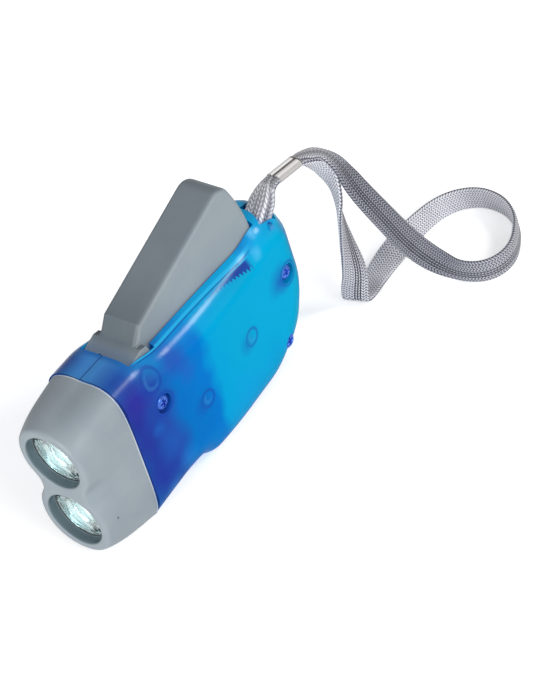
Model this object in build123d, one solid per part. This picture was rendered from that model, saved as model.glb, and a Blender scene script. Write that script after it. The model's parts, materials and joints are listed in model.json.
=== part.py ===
from build123d import *
import math
import os

# A hand-squeezed dynamo torch: a blue see-through housing in two halves, a grey head with
# two lights, a grey squeeze lever with a toothed rack, a gear train with a flywheel
# generator, and a braided wrist strap.
# Millimetres. X runs from the head (-X) to the strap (+X), Z is up, Y = 0 is the parting
# plane of the halves. The torch stands on its belly at Z = 0, with X = 0 halfway along it.

# Housing
torch_length = 106.2
top_height = 53.3
half_width = 15.0
front_width_share = 0.947
rear_width_share = 0.693
wall = 1.8
edge_share = 0.6333
stout_share = 0.2825
plan_radius = 160.0
widest_share = 0.55
# Side outline of the housing, clockwise from the top behind the lights: share of the
# torch's length, share of its height, and bend radius as a share of the size unit.
side_shares = (
    (0.075, 1.000, 0.000),
    (0.292, 1.000, 0.470),
    (0.386, 0.944, 0.470),
    (0.782, 0.944, 0.340),
    (0.866, 1.000, 0.260),
    (0.970, 0.955, 0.170),
    (1.000, 0.788, 0.225),
    (1.000, 0.394, 0.490),
    (0.923, 0.122, 0.375),
    (0.772, 0.000, 0.470),
    (0.447, 0.000, 0.180),
    (0.404, 0.058, 0.110),
    (0.335, 0.058, 0.470),
    (0.186, 0.020, 0.470),
    (0.075, 0.000, 0.000),
)

# Head cap and its joint with the housing
head_share = 0.1855
head_wall = 1.8
head_front_wall = 3.2
head_edge_radius = 1.6
lens_spacing_share = 0.4326
barrel_inset = 3.1
barrel_rim = 2.7
waist_step = 4.1
rim_radius = 0.7
seam_power = 4.2
waist_power = 6.0
blend_power = 0.6
section_points = 28
head_relief = 0.25
spigot_length = 4.0
spigot_wall = 1.4
collar_length = 2.5
fit_gap = 0.15

# Lights
lens_lip = 0.7
lens_thickness = 1.2
lens_crown = 0.5
reflector_length = 8.9
reflector_step = 0.5
reflector_throat_radius = 2.7
reflector_wall = 0.7
led_radius = 2.5
led_length = 6.5
led_flange_radius = 2.9
led_flange = 1.0
led_board_thickness = 1.2
led_board_margin = 6.65
led_board_width = 16.0

# Lever, in line with its own back: along is from the pivot towards the tip
pivot_along_share = 0.3051
pivot_up_share = 0.8649
lever_travel = 17.5
lever_closed_angle = 0.5
lever_reach_share = 0.5716
lever_back = 8.3
lever_width_share = 0.46
lever_wall = 1.5
lever_lower_angle = 15.1
lever_edge_radius = 1.5
lever_corner_radius = 5.5
hub_radius = 4.6
hub_notch = 1.4
neck_along = 6.2
shoulder_along = 11.8
ear_along = 8.3
ear_up = 3.4
ear_width_share = 0.587
lever_gap = 0.7
slot_gap = 0.5
slot_front = 2.0
pin_radius = 1.5
pin_seat_depth = 2.2
run_gap = 0.05

# Gears
pressure_angle = 25.0
tooth_play_share = 0.12
root_depth_share = 1.25
rack_module_share = 0.018832
rack_teeth = 80
rack_teeth_cut = 7
rack_band = 4.2
rack_thickness = 3.0
rack_middle_y = -3.1
mesh_angle = 26.2
pinion_teeth = 12
pinion_extra = 0.4
wheel_module_share = 0.009416
wheel_teeth = 84
wheel_thickness = 1.8
wheel_room = 4.7
wheel_web = 0.9
wheel_rim = 3.0
wheel_gap = 0.5
rotor_pinion_teeth = 14
rotor_pinion_thickness = 2.4
rotor_angle = 184.8
shaft_radius = 1.0
gear_hub_radius = 2.4
shaft_seat_depth = 2.0

# Generator
flywheel_share = 0.2072
generator_room = 1.8
flywheel_width = 5.0
flywheel_rim = 2.6
flywheel_web = 1.0
magnet_wall = 2.6
coil_share = 0.162
coil_width = 3.2
yoke_width = 5.0
yoke_wall = 0.8
generator_gap = 0.6
claw_count = 6

# Spring on the pivot pin
spring_wire = 0.8
spring_coil_radius = 2.35
spring_pitch = 1.3
spring_turns = 5
spring_roof_leg = 8.0
spring_lever_leg = 7.5
spring_leg_gap = 0.4

# Cells, board and switch
cell_radius = 5.8
cell_height = 5.4
cell_step = 0.9
cell_cap_radius = 4.6
cell_count = 3
cell_along_share = 0.2731
cell_floor_gap = 7.2
clip_thickness = 0.4
clip_width = 6.0
board_thickness = 1.2
board_along_share = 0.2778
board_up_share = 0.4972
board_length = 15.0
board_height = 12.0
board_room = 1.2
switch_length = 8.6
switch_height = 3.6
switch_depth = 3.4
button_length = 5.0
button_height = 4.0
button_stand = 0.45
button_recess = 1.0
button_clear = 0.2
button_stem = 2.0
button_slot_gap = 0.3
switch_travel = 2.5

# Bosses and screws. Screws: share of the torch's length and of its height.
screw_shares = ((0.3192, 0.6792), (0.9096, 0.5685), (0.8440, 0.1600))
screw_boss_radius = 3.4
screw_head_radius = 2.4
screw_head_height = 1.6
screw_crown_share = 0.7
screw_recess_radius = 3.1
screw_recess_depth = 1.8
screw_shank_radius = 1.1
screw_length = 16.0
shaft_boss_radius = 2.65
pivot_boss_radius = 3.7

# Strap: a flat braid whose route runs along its middle, drawn as a tube of its thickness
strap_thickness = 2.0
strap_width = 8.0
strap_play = 0.05
strap_middle_y = -4.3
strap_slot_gap = 0.6
strap_pin_along_share = 0.9143
strap_pin_up_share = 0.8968
strap_pin_radius = 0.9
strap_exit_angle = 42.0
strap_slot_reach = 7.0
ferrule_length = 10.6
ferrule_wall = 0.4
ferrule_waist = 0.5
ferrule_lead = 3.0
ferrule_beyond = 8.3
ferrule_axis_height = 53.5
ferrule_tilt = 10.6
leg_spacing = 2.3
bend_share = 0.45
# The wrist loop from the ferrule over the floor and back to it: how far beyond the torch's
# rear end, how far to the side, and the height as a share of the ferrule's.
strap_route = (
    (17.9, -3.6, 0.9776),
    (21.9, -8.0, 0.9645),
    (22.9, -15.0, 0.9159),
    (20.9, -20.8, 0.7944),
    (20.3, -24.2, 0.6168),
    (22.3, -26.4, 0.4299),
    (25.5, -28.3, 0.2523),
    (28.9, -31.5, 0.1215),
    (31.1, -37.8, 0.0766),
    (34.9, -43.8, 0.0766),
    (40.9, -47.2, 0.0766),
    (47.9, -47.4, 0.0766),
    (54.6, -44.0, 0.0766),
    (59.5, -37.5, 0.0766),
    (61.5, -30.0, 0.0766),
    (59.5, -23.2, 0.0766),
    (53.8, -18.6, 0.0766),
    (45.8, -16.4, 0.0766),
    (37.1, -15.9, 0.0766),
    (28.3, -16.6, 0.0766),
    (20.5, -17.5, 0.0766),
    (14.5, -18.3, 0.0766),
    (12.8, -14.6, 0.1009),
    (12.9, -13.8, 0.2243),
    (13.1, -13.4, 0.3738),
    (13.4, -13.2, 0.5234),
    (14.1, -12.9, 0.6542),
    (15.7, -11.8, 0.7757),
    (17.6, -8.9, 0.8785),
    (16.3, -5.6, 0.9514),
)

# One overrun for every cut that has to pass right through
overrun = 4.0

size_unit = min(top_height, torch_length / 2)
front_x = -torch_length / 2
rear_x = torch_length / 2
head_length = head_share * torch_length
seam_x = front_x + head_length
middle_height = top_height / 2
front_half_width = front_width_share * half_width
rear_half_width = rear_width_share * half_width
inside_half = half_width - wall
edge_radius = edge_share * min(half_width, stout_share * size_unit)

lens_spacing = lens_spacing_share * top_height
barrel_radius = (top_height - lens_spacing) / 2 - barrel_inset
waist_half_width = barrel_radius - waist_step
lens_opening_radius = barrel_radius - barrel_rim
lens_radius = lens_opening_radius + lens_lip
reflector_rim_radius = lens_radius - reflector_step
led_board_height = top_height - 2 * led_board_margin
led_board_front = head_length - spigot_length - led_board_thickness

pivot_height = pivot_up_share * top_height
lever_open_angle = lever_closed_angle + lever_travel
lever_reach = lever_reach_share * torch_length
lever_half_width = lever_width_share * half_width
ear_half_width = ear_width_share * half_width

rack_module = rack_module_share * size_unit
wheel_module = wheel_module_share * size_unit
wheel_middle_y = wheel_room - inside_half
flywheel_radius = flywheel_share * size_unit
coil_radius = coil_share * size_unit
flywheel_near_y = inside_half - generator_room - yoke_width - generator_gap - flywheel_width

cell_from_front = cell_along_share * torch_length
cell_axis_height = cell_radius + cell_floor_gap
clip_low_z = cell_axis_height - cell_radius - clip_thickness
board_from_front = board_along_share * torch_length
board_axis_height = board_up_share * top_height
board_outer_y = inside_half - switch_depth - board_room
screw_places = [(along * torch_length, up * top_height) for along, up in screw_shares]


def slab_between(face, low_y, high_y):
    """Stand an outline drawn in X and Z up, as a plate from low_y to high_y."""
    return Pos(0, high_y, 0) * Rot(90, 0, 0) * extrude(face, high_y - low_y)


def turned_along_x(profile, x, y, z):
    """Turn a closed profile of (along, radius) points round a line along X."""
    face = make_face(Polyline(*profile, close=True))
    return Pos(x, y, z) * revolve(face, Axis.X)


def turned_along_y(profile, x, z):
    """Turn a closed profile of (y, radius) points round a line along Y."""
    face = make_face(Polyline(*profile, close=True))
    return Pos(x, 0, z) * Rot(0, 0, 90) * revolve(face, Axis.X)


def rod_y(x, z, radius, low_y, high_y):
    """A round bar along Y."""
    return Pos(x, high_y, z) * Rot(90, 0, 0) * extrude(Circle(radius), high_y - low_y)


def block(low, high):
    """A plain block from its low corner to its high corner."""
    size = [high[i] - low[i] for i in range(len(low))]
    return Pos(*low) * Box(*size, align=(Align.MIN, Align.MIN, Align.MIN))


def between_x(low_x, high_x):
    """Everything of the torch between two places along it."""
    reach = half_width + overrun
    return block((low_x, -reach, -overrun), (high_x, reach, top_height + overrun))


def polar(centre, radius, degrees):
    """A point at a radius and an angle about a centre."""
    turn = math.radians(degrees)
    return (centre[0] + radius * math.cos(turn), centre[1] + radius * math.sin(turn))


pivot = (front_x + pivot_along_share * torch_length, pivot_height)
rack_radius = rack_module * rack_teeth / 2
pinion_radius = rack_module * pinion_teeth / 2
wheel_radius = wheel_module * wheel_teeth / 2
rotor_pinion_radius = wheel_module * rotor_pinion_teeth / 2
drive_axis = polar(pivot, rack_radius + pinion_radius, -mesh_angle)
rotor_axis = polar(drive_axis, wheel_radius + rotor_pinion_radius, rotor_angle)


def side_face():
    """Side outline of the housing, from its table of shares."""
    points = [(front_x + along * torch_length, up * top_height) for along, up, bend in side_shares]
    radii = [bend * size_unit for along, up, bend in side_shares[1:-1]]
    edge = FilletPolyline(*points, radius=radii)
    return make_face([*edge.edges(), Line(points[-1], points[0])])


def plan_face():
    """Plan outline of the housing: it widens a little and draws in to the rear."""
    start_x = front_x + side_shares[0][0] * torch_length
    widest_x = front_x + widest_share * torch_length
    points = [(start_x, front_half_width), (widest_x, half_width), (rear_x + wall, rear_half_width)]
    upper = FilletPolyline(*points, radius=plan_radius)
    lower = FilletPolyline(*[(x, -y) for x, y in points], radius=plan_radius)
    rear = Line(points[-1], (points[-1][0], -points[-1][1]))
    front = Line((points[0][0], -points[0][1]), points[0])
    return make_face([*upper.edges(), rear, *lower.edges(), front])


def housing_form(inset):
    """The housing's outer form drawn in by an inset, with rounded edges."""
    side = offset(side_face(), -inset) if inset else side_face()
    plan = offset(plan_face(), -inset) if inset else plan_face()
    form = slab_between(side, -half_width - overrun, half_width + overrun)
    form = form & extrude(plan, top_height + overrun)
    start_x = front_x + side_shares[0][0] * torch_length + inset
    sides = [e for e in form.edges() if abs(e.center().Y) > fit_gap and e.center().X > start_x + fit_gap]
    return fillet(sides, edge_radius - inset)


def lever_frame(along, up):
    """A point given along and square to the lever's back, in X and Z."""
    turn = math.radians(lever_open_angle)
    x = pivot[0] + along * math.cos(turn) - up * math.sin(turn)
    return (x, pivot[1] + along * math.sin(turn) + up * math.cos(turn))


def lever_slot():
    """The opening in the housing's top that the lever swings through."""
    reach = lever_reach + slot_gap
    floor_z = pivot_height - pivot_boss_radius
    front = pivot[0] - slot_front
    rear = pivot[0] + reach
    outline = Circle(reach).moved(Pos(*pivot)) & Polygon(
        (front, floor_z), (rear, floor_z), (rear, top_height + overrun), (front, top_height + overrun),
        align=None)
    inner = lever_half_width + slot_gap
    outer = ear_half_width + slot_gap
    ear_end = pivot[0] + math.hypot(ear_along, ear_up) + slot_gap
    ear_box = block((front, -outer, floor_z), (ear_end, outer, top_height + overrun))
    return slab_between(outline, -inner, inner) + ear_box


def shell_bosses(side, form):
    """The bosses and the cells' cradle inside one half, without their bores."""
    reach = side * half_width
    bosses = []
    for along, up in screw_places:
        bosses.append(rod_y(front_x + along, up, screw_boss_radius, *sorted((0, reach))))
    inner_edge = ear_half_width + fit_gap
    bosses.append(rod_y(*pivot, pivot_boss_radius, *sorted((side * inner_edge, reach))))
    wheel_edge = -wheel_middle_y + wheel_thickness / 2 + lever_gap
    bosses.append(rod_y(*drive_axis, shaft_boss_radius, *sorted((side * wheel_edge, reach))))
    rotor_edge = wheel_edge if side < 0 else flywheel_near_y + flywheel_width + generator_gap + yoke_width
    bosses.append(rod_y(*rotor_axis, shaft_boss_radius, *sorted((side * rotor_edge, reach))))
    strap_edge = strap_width + strap_slot_gap if side < 0 else 0
    bosses.append(rod_y(*strap_pin_place(), strap_pin_radius + wall, *sorted((side * strap_edge, reach))))
    cradle_x = front_x + cell_from_front
    low_y, high_y = sorted((0, reach))
    bosses.append(block((cradle_x - clip_width / 2, low_y, 0),
                        (cradle_x + clip_width / 2, high_y, clip_low_z)))
    solid = bosses[0]
    for boss in bosses[1:]:
        solid = solid + boss
    return solid & form


def wheel_well():
    """Free room for the large wheel, out of the bosses and the wall beside it."""
    half = wheel_thickness / 2 + wheel_gap
    return rod_y(*drive_axis, wheel_radius + wheel_module + wheel_gap, wheel_middle_y - half,
                 wheel_middle_y + half)


def inner_face_y(along):
    """Half width of the housing's inside at a place along it."""
    if along < widest_share * torch_length:
        share = along / (widest_share * torch_length)
        outer = front_half_width + share * (half_width - front_half_width)
    else:
        share = (along / torch_length - widest_share) / (1 - widest_share)
        outer = half_width + share * (rear_half_width - half_width)
    return outer - wall


def shell(side, outer, cavity, neck, neck_cavity):
    """One half of the housing, on the side of Y that side names."""
    hollow = cavity & between_x(seam_x + collar_length, rear_x)
    body = (outer & between_x(seam_x, rear_x + overrun)) - hollow
    body = body - (neck_cavity & between_x(front_x, seam_x + collar_length + fit_gap))
    spigot = neck & between_x(seam_x - spigot_length, seam_x + fit_gap)
    body = body + (spigot - neck_cavity)
    body = body + shell_bosses(side, outer & between_x(seam_x, rear_x + overrun))
    body = body - lever_slot() - wheel_well()
    reach = half_width + overrun
    low_y, high_y = sorted((0, side * reach))
    half = block((front_x, low_y, -overrun), (rear_x + overrun, high_y, top_height + overrun))
    return body & half


def left_shell(forms):
    """The half at -Y, with the screw recesses and the slot that the strap leaves by."""
    body = shell(-1, *forms)
    for along, up in screw_places:
        x = front_x + along
        recess_y = -(inner_face_y(along) + wall) + screw_recess_depth
        body = body - rod_y(x, up, screw_recess_radius, -half_width - overrun, recess_y)
        body = body - rod_y(x, up, screw_shank_radius + fit_gap, -half_width - overrun, overrun)
    body = body - shaft_bores(-1)
    body = body - strap_slot()
    return body


def right_shell(forms):
    """The half at +Y, with the pilot holes of the screws and the switch's slot."""
    body = shell(1, *forms)
    for along, up in screw_places:
        depth = screw_tip_y(along) + fit_gap
        body = body - rod_y(front_x + along, up, screw_shank_radius + run_gap, -overrun, depth)
    body = body - shaft_bores(1)
    slot_length = button_stem + switch_travel + 2 * button_slot_gap
    slot_x = front_x + board_from_front
    slot_height = button_stem + 2 * button_slot_gap
    slot = block((slot_x - slot_length / 2, board_outer_y, board_axis_height - slot_height / 2),
                 (slot_x + slot_length / 2, half_width + overrun, board_axis_height + slot_height / 2))
    face_y = inner_face_y(board_from_front) + wall
    length = button_length + switch_travel + 2 * button_slot_gap
    height = button_height + 2 * button_slot_gap
    recess = block((slot_x - length / 2, face_y - button_recess, board_axis_height - height / 2),
                   (slot_x + length / 2, half_width + overrun, board_axis_height + height / 2))
    return body - slot - recess


def shaft_bores(side):
    """Blind bores for the pivot pin, the two shafts and the strap pin in one half."""
    pin_end = ear_half_width + fit_gap + pin_seat_depth
    bores = rod_y(*pivot, pin_radius + run_gap, *sorted((0, side * pin_end)))
    shaft_end = drive_shaft_end() + fit_gap
    bores = bores + rod_y(*drive_axis, shaft_radius + run_gap, *sorted((0, side * shaft_end)))
    bores = bores + rod_y(*rotor_axis, shaft_radius + run_gap, *sorted((0, side * rotor_shaft_end(side))))
    return bores + rod_y(*strap_pin_place(), strap_pin_radius + run_gap, *sorted((0, strap_pin_end(side))))


def strap_pin_end(side):
    """Where the strap pin ends, seated in the half on one side."""
    strap_room = strap_width + strap_slot_gap if side < 0 else 0
    return side * (strap_room + pin_seat_depth)


def drive_shaft_end():
    """How far the drive shaft reaches from the middle."""
    return -wheel_middle_y + wheel_thickness / 2 + lever_gap + shaft_seat_depth


def rotor_shaft_end(side):
    """How far the rotor's shaft reaches from the middle on one side."""
    if side < 0:
        return drive_shaft_end()
    return flywheel_near_y + flywheel_width + generator_gap + yoke_width + shaft_seat_depth


def strap_pin_place():
    """Middle of the strap pin in X and Z."""
    return (front_x + strap_pin_along_share * torch_length, strap_pin_up_share * top_height)


def strap_slot():
    """The slot through the rear top of the left half, in line with the strap's way out."""
    half = strap_pin_radius + strap_thickness + strap_slot_gap
    turn = Rot(0, -strap_exit_angle, 0)
    x, z = strap_pin_place()
    cut = block((0, -strap_width - strap_slot_gap, -half), (strap_slot_reach * 2, 0, half))
    return Pos(x, 0, z) * turn * cut


def head_radius(turn, along, inset):
    """Distance from the head's middle line to its outline at an angle.

    Two round barrels with a soft waist at the front change into the housing's section."""
    centre = lens_spacing / 2
    rise = abs(math.cos(turn))
    spread = abs(math.sin(turn))
    barrel = centre * rise + math.sqrt(max(barrel_radius ** 2 - (centre * spread) ** 2, 0))
    figure = (barrel ** waist_power + waist_half_width ** waist_power) ** (1 / waist_power)
    width = (spread / front_half_width) ** seam_power
    height = (rise / (middle_height - head_relief)) ** seam_power
    seam = (width + height) ** (-1 / seam_power)
    share = min(along / head_length, 1) ** blend_power
    return (1 - share) * figure + share * seam - inset


def head_section(along, inset):
    """One closed section of the head as a smooth curve."""
    points = []
    for step in range(section_points):
        turn = 2 * math.pi * step / section_points
        radius = head_radius(turn, along, inset)
        points.append((front_x + along, radius * math.sin(turn), middle_height + radius * math.cos(turn)))
    return Wire([Edge.make_spline([Vector(*p) for p in points], periodic=True)])


def head_loft(stations, inset):
    """A body through the head's sections at several places."""
    return Solid.make_loft([head_section(along, inset) for along in stations])


def lens_centres():
    """Heights of the two lights."""
    return (middle_height + lens_spacing / 2, middle_height - lens_spacing / 2)


def head_cap():
    """The grey cap in front, open to the rear, with two round lens openings."""
    outer = head_loft((0, head_length / 3, 2 * head_length / 3, head_length), 0)
    front_edge = [e for e in outer.edges() if e.center().X < front_x + fit_gap]
    outer = fillet(front_edge, head_edge_radius)
    step = (head_length - head_front_wall) / 3
    stations = [head_front_wall + step * i for i in range(3)] + [head_length + fit_gap]
    cap = outer - head_loft(stations, head_wall)
    cap = cap - (housing_form(head_wall) & between_x(seam_x - spigot_length - fit_gap, seam_x + overrun))
    for height in lens_centres():
        bore = Pos(front_x - overrun, 0, height) * Rot(0, 90, 0) * extrude(
            Circle(lens_opening_radius), head_front_wall + 2 * overrun)
        cap = cap - bore
    rims = [e for e in cap.edges().filter_by(GeomType.CIRCLE) if e.center().X < front_x + fit_gap]
    return fillet(rims, rim_radius)


def lens(height):
    """A clear round lens with a slight crown, behind the front wall."""
    steps = 4
    profile = [(lens_thickness, 0), (lens_thickness, lens_radius), (0, lens_radius)]
    profile.append((0, lens_opening_radius - fit_gap))
    for step in range(1, steps + 1):
        share = 1 - step / steps
        profile.append((-lens_crown * (1 - share ** 2), (lens_opening_radius - fit_gap) * share))
    return turned_along_x(profile, front_x + head_front_wall, 0, height)


def reflector(height):
    """A thin bowl that opens to the lens, with a rim against it."""
    steps = 6
    flare = reflector_rim_radius - reflector_wall - reflector_throat_radius
    inner = []
    for step in range(steps + 1):
        share = step / steps
        radius = reflector_throat_radius + flare * (1 - share ** 2)
        inner.append((share * reflector_length, radius))
    outer = [(along, radius + reflector_wall) for along, radius in reversed(inner)]
    return turned_along_x(inner + outer, front_x + head_front_wall + lens_thickness, 0, height)


def led(height):
    """A domed light with a flange at its base, on the board."""
    steps = 4
    base = led_board_front
    barrel = base - led_length + led_radius
    profile = [(base, 0), (base, led_flange_radius), (base - led_flange, led_flange_radius)]
    profile.append((base - led_flange, led_radius))
    for step in range(steps + 1):
        turn = math.pi / 2 * step / steps
        radius = led_radius * math.cos(turn) if step < steps else 0
        profile.append((barrel - led_radius * math.sin(turn), radius))
    return turned_along_x(profile, front_x, 0, height)


def led_board():
    """The small board that carries both lights, against the housing's neck."""
    face = RectangleRounded(led_board_width, led_board_height, led_flange_radius)
    board = Pos(front_x + led_board_front, 0, middle_height) * Rot(0, 90, 0) * Rot(0, 0, 90) * extrude(
        face, led_board_thickness)
    return board


def lever_outline():
    """Side outline of the lever: a wedge that ends in an arc about the pivot."""
    far = lever_reach + overrun
    low = math.radians(-lever_lower_angle)
    wedge = [lever_frame(0, -hub_radius / 2), lever_frame(far * math.cos(low), far * math.sin(low)),
             lever_frame(far, lever_back), lever_frame(shoulder_along, lever_back),
             lever_frame(neck_along, hub_radius), lever_frame(0, hub_radius)]
    face = Polygon(*wedge, align=None) & Circle(lever_reach).moved(Pos(*pivot))
    tip = face.vertices().sort_by_distance(Vector(*lever_frame(far, lever_back), 0))[0]
    face = fillet(tip, lever_corner_radius)
    return face + Circle(hub_radius).moved(Pos(*pivot))


def lever():
    """The squeeze lever: a channel open below, with two wide ears at the pivot."""
    body = slab_between(lever_outline(), -lever_half_width, lever_half_width)
    back = []
    for edge in body.edges():
        middle = edge.center()
        on_side = abs(abs(middle.Y) - lever_half_width) < fit_gap
        away = lever_frame(shoulder_along / 2, 0)
        clear = middle.X > away[0]
        turn = math.degrees(math.atan2(middle.Z - pivot[1], middle.X - pivot[0])) - lever_open_angle
        if on_side and clear and turn > -lever_lower_angle / 2:
            back.append(edge)
    body = fillet(back, lever_edge_radius)
    ear = [lever_frame(0, -hub_radius / 2), lever_frame(ear_along, -hub_radius / 2),
           lever_frame(ear_along, ear_up), lever_frame(neck_along, hub_radius),
           lever_frame(0, hub_radius)]
    ear_face = Polygon(*ear, align=None) + Circle(hub_radius).moved(Pos(*pivot))
    body = body + slab_between(ear_face, -ear_half_width, ear_half_width)
    far = lever_reach + overrun
    inside = lever_back - lever_wall
    roof = hub_radius - lever_wall
    hollow = [lever_frame(0, -far), lever_frame(far, -far), lever_frame(far, inside),
              lever_frame(shoulder_along + lever_wall / 2, inside),
              lever_frame(neck_along + lever_wall / 2, roof), lever_frame(0, roof)]
    hollow_face = Polygon(*hollow, align=None) & Circle(lever_reach - lever_wall).moved(Pos(*pivot))
    hollow_face = hollow_face + Circle(roof).moved(Pos(*pivot))
    inner = lever_half_width - lever_wall
    body = body - slab_between(hollow_face, -inner, inner)
    notch = [lever_frame(hub_notch, 0), lever_frame(hub_notch, far), lever_frame(-far, far),
             lever_frame(-far, 0)]
    notch_y = spring_pitch * spring_turns / 2
    notch_face = Polygon(*notch, align=None)
    body = body - slab_between(notch_face, notch_y - spring_wire, notch_y + spring_wire)
    return body - rod_y(*pivot, pin_radius + run_gap, -half_width, half_width)


def tooth_half_angle(radius, module, teeth):
    """Half the angle that a tooth takes at a radius, on an involute flank."""
    pitch = module * teeth / 2
    slope = math.radians(pressure_angle)
    base = pitch * math.cos(slope)
    at_radius = math.acos(min(base / radius, 1))
    involute = math.tan(slope) - slope - math.tan(at_radius) + at_radius
    return (math.pi / 2 - tooth_play_share) / teeth + involute


def tooth_points(centre, module, teeth, middle_angle, radii):
    """The points of one tooth, from its root up one flank and down the other."""
    rising = []
    falling = []
    for radius in radii:
        half = math.degrees(tooth_half_angle(radius, module, teeth))
        rising.append(polar(centre, radius, middle_angle - half))
        falling.insert(0, polar(centre, radius, middle_angle + half))
    return rising + falling


def flank_radii(module, teeth, fine):
    """Radii at which a flank has points: root and tip, and two between on a small gear."""
    pitch = module * teeth / 2
    root = pitch - root_depth_share * module
    if not fine:
        return (root, pitch + module)
    return (root, pitch - module * root_depth_share / 2, pitch, pitch + module)


def gear_face(centre, module, teeth, first_angle, fine):
    """A whole gear's outline with one tooth centred on first_angle."""
    points = []
    for tooth in range(teeth):
        angle = first_angle + tooth * 360 / teeth
        points.extend(tooth_points(centre, module, teeth, angle, flank_radii(module, teeth, fine)))
    return make_face(Polyline(*points, close=True))


def rack_sector():
    """The toothed rack under the lever: a curved band with a few teeth about the pivot."""
    tooth_step = 360 / rack_teeth
    radii = flank_radii(rack_module, rack_teeth, True)
    root = radii[0]
    first = -mesh_angle - tooth_step
    last = first + (rack_teeth_cut - 1) * tooth_step
    low_angle = first - tooth_step / 2
    high_angle = lever_open_angle + lever_lower_angle
    outline = []
    for tooth in range(rack_teeth_cut):
        outline.extend(tooth_points(pivot, rack_module, rack_teeth, first + tooth * tooth_step, radii))
    inner = root - rack_band
    far = rack_radius + overrun
    band = Circle(root).moved(Pos(*pivot)) - Circle(inner).moved(Pos(*pivot))
    wedge = Polygon(pivot, polar(pivot, far * 2, low_angle), polar(pivot, far * 2, last),
                    polar(pivot, far * 2, high_angle), align=None)
    band = band & wedge
    teeth_face = make_face(Polyline(*outline, polar(pivot, inner + rack_band / 2, last),
                                    polar(pivot, inner + rack_band / 2, first), close=True))
    inside = lever_back - lever_wall
    below_back = Polygon(lever_frame(0, -far), lever_frame(far * 2, -far), lever_frame(far * 2, inside),
                         lever_frame(0, inside), align=None)
    face = (band + teeth_face) & below_back
    half = rack_thickness / 2
    return slab_between(face, rack_middle_y - half, rack_middle_y + half)


def drive_pinion():
    """The pinion that the rack turns, on a hub that reaches to the large wheel."""
    step = 360 / pinion_teeth
    face = gear_face(drive_axis, rack_module, pinion_teeth, 180 - mesh_angle + step / 2, True)
    half = rack_thickness / 2 + pinion_extra / 2
    body = slab_between(face, rack_middle_y - half, rack_middle_y + half)
    hub_low = wheel_middle_y + wheel_thickness / 2
    body = body + rod_y(*drive_axis, gear_hub_radius, hub_low, rack_middle_y)
    return body - rod_y(*drive_axis, shaft_radius + run_gap, -half_width, half_width)


def drive_wheel():
    """The large fine-toothed wheel beside the left half, thinner between hub and rim."""
    face = gear_face(drive_axis, wheel_module, wheel_teeth, rotor_angle, False)
    half = wheel_thickness / 2
    low = wheel_middle_y - half
    high = wheel_middle_y + half
    body = slab_between(face, low, high)
    dish_depth = (wheel_thickness - wheel_web) / 2
    ring = (Circle(wheel_radius - wheel_rim) - Circle(gear_hub_radius * 2)).moved(Pos(*drive_axis))
    body = body - slab_between(ring, low - overrun, low + dish_depth)
    body = body - slab_between(ring, high - dish_depth, high + overrun)
    return body - rod_y(*drive_axis, shaft_radius + run_gap, -half_width, half_width)


def drive_shaft():
    """The fixed steel shaft that the pinion and the large wheel turn on."""
    end = drive_shaft_end()
    return rod_y(*drive_axis, shaft_radius, -end, end)


def rotor_pinion():
    """The small pinion that spins the flywheel, with its long hub."""
    step = 360 / rotor_pinion_teeth
    face = gear_face(rotor_axis, wheel_module, rotor_pinion_teeth, rotor_angle + 180 + step / 2, True)
    half = rotor_pinion_thickness / 2
    body = slab_between(face, wheel_middle_y - half, wheel_middle_y + half)
    body = body + rod_y(*rotor_axis, gear_hub_radius, wheel_middle_y, flywheel_near_y)
    return body - rod_y(*rotor_axis, shaft_radius + run_gap, -half_width, half_width)


def flywheel():
    """The flywheel: a web on a hub with a heavy rim."""
    near = flywheel_near_y
    far = flywheel_near_y + flywheel_width
    profile = [(near, shaft_radius + run_gap), (near, flywheel_radius), (far, flywheel_radius),
               (far, flywheel_radius - flywheel_rim), (near + flywheel_web, flywheel_radius - flywheel_rim),
               (near + flywheel_web, gear_hub_radius), (far, gear_hub_radius), (far, shaft_radius + run_gap)]
    return turned_along_y(profile, *rotor_axis)


def magnet_ring():
    """The ring magnet seated in the flywheel's cup."""
    outer = flywheel_radius - flywheel_rim
    near = flywheel_near_y + flywheel_web
    far = flywheel_near_y + flywheel_width
    profile = [(near, outer - magnet_wall), (near, outer), (far, outer), (far, outer - magnet_wall)]
    return turned_along_y(profile, *rotor_axis)


def rotor_shaft():
    """The fixed steel shaft of the flywheel."""
    return rod_y(*rotor_axis, shaft_radius, -rotor_shaft_end(-1) + fit_gap, rotor_shaft_end(1) - fit_gap)


def stator_yoke():
    """The iron cup that holds the coil, with a ring of claws towards the magnet."""
    near = flywheel_near_y + flywheel_width + generator_gap
    far = near + yoke_width
    outer = coil_radius + yoke_wall
    core = gear_hub_radius + yoke_wall
    profile = [(far, shaft_radius + lever_gap), (far, outer), (near, outer), (near, coil_radius),
               (far - yoke_wall, coil_radius), (far - yoke_wall, core), (near, core),
               (near, shaft_radius + lever_gap)]
    body = turned_along_y(profile, *rotor_axis)
    gap = outer * math.sin(math.pi / claw_count / 2)
    for claw in range(claw_count):
        turn = 360 * claw / claw_count
        across = Rectangle(outer * 2, gap).moved(Pos(outer, 0))
        notch = slab_between(across, near - overrun, near + yoke_width / 2)
        body = body - Pos(rotor_axis[0], 0, rotor_axis[1]) * Rot(0, turn, 0) * notch
    return body


def stator_coil():
    """The wound coil inside the iron cup."""
    near = flywheel_near_y + flywheel_width + generator_gap
    far = near + yoke_width - yoke_wall
    core = gear_hub_radius + yoke_wall
    profile = [(far - coil_width, core), (far - coil_width, coil_radius), (far, coil_radius), (far, core)]
    return turned_along_y(profile, *rotor_axis)


def pivot_pin():
    """The pin that the lever turns on, seated in both halves."""
    end = ear_half_width + pin_seat_depth
    return rod_y(*pivot, pin_radius, -end, end)


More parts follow.
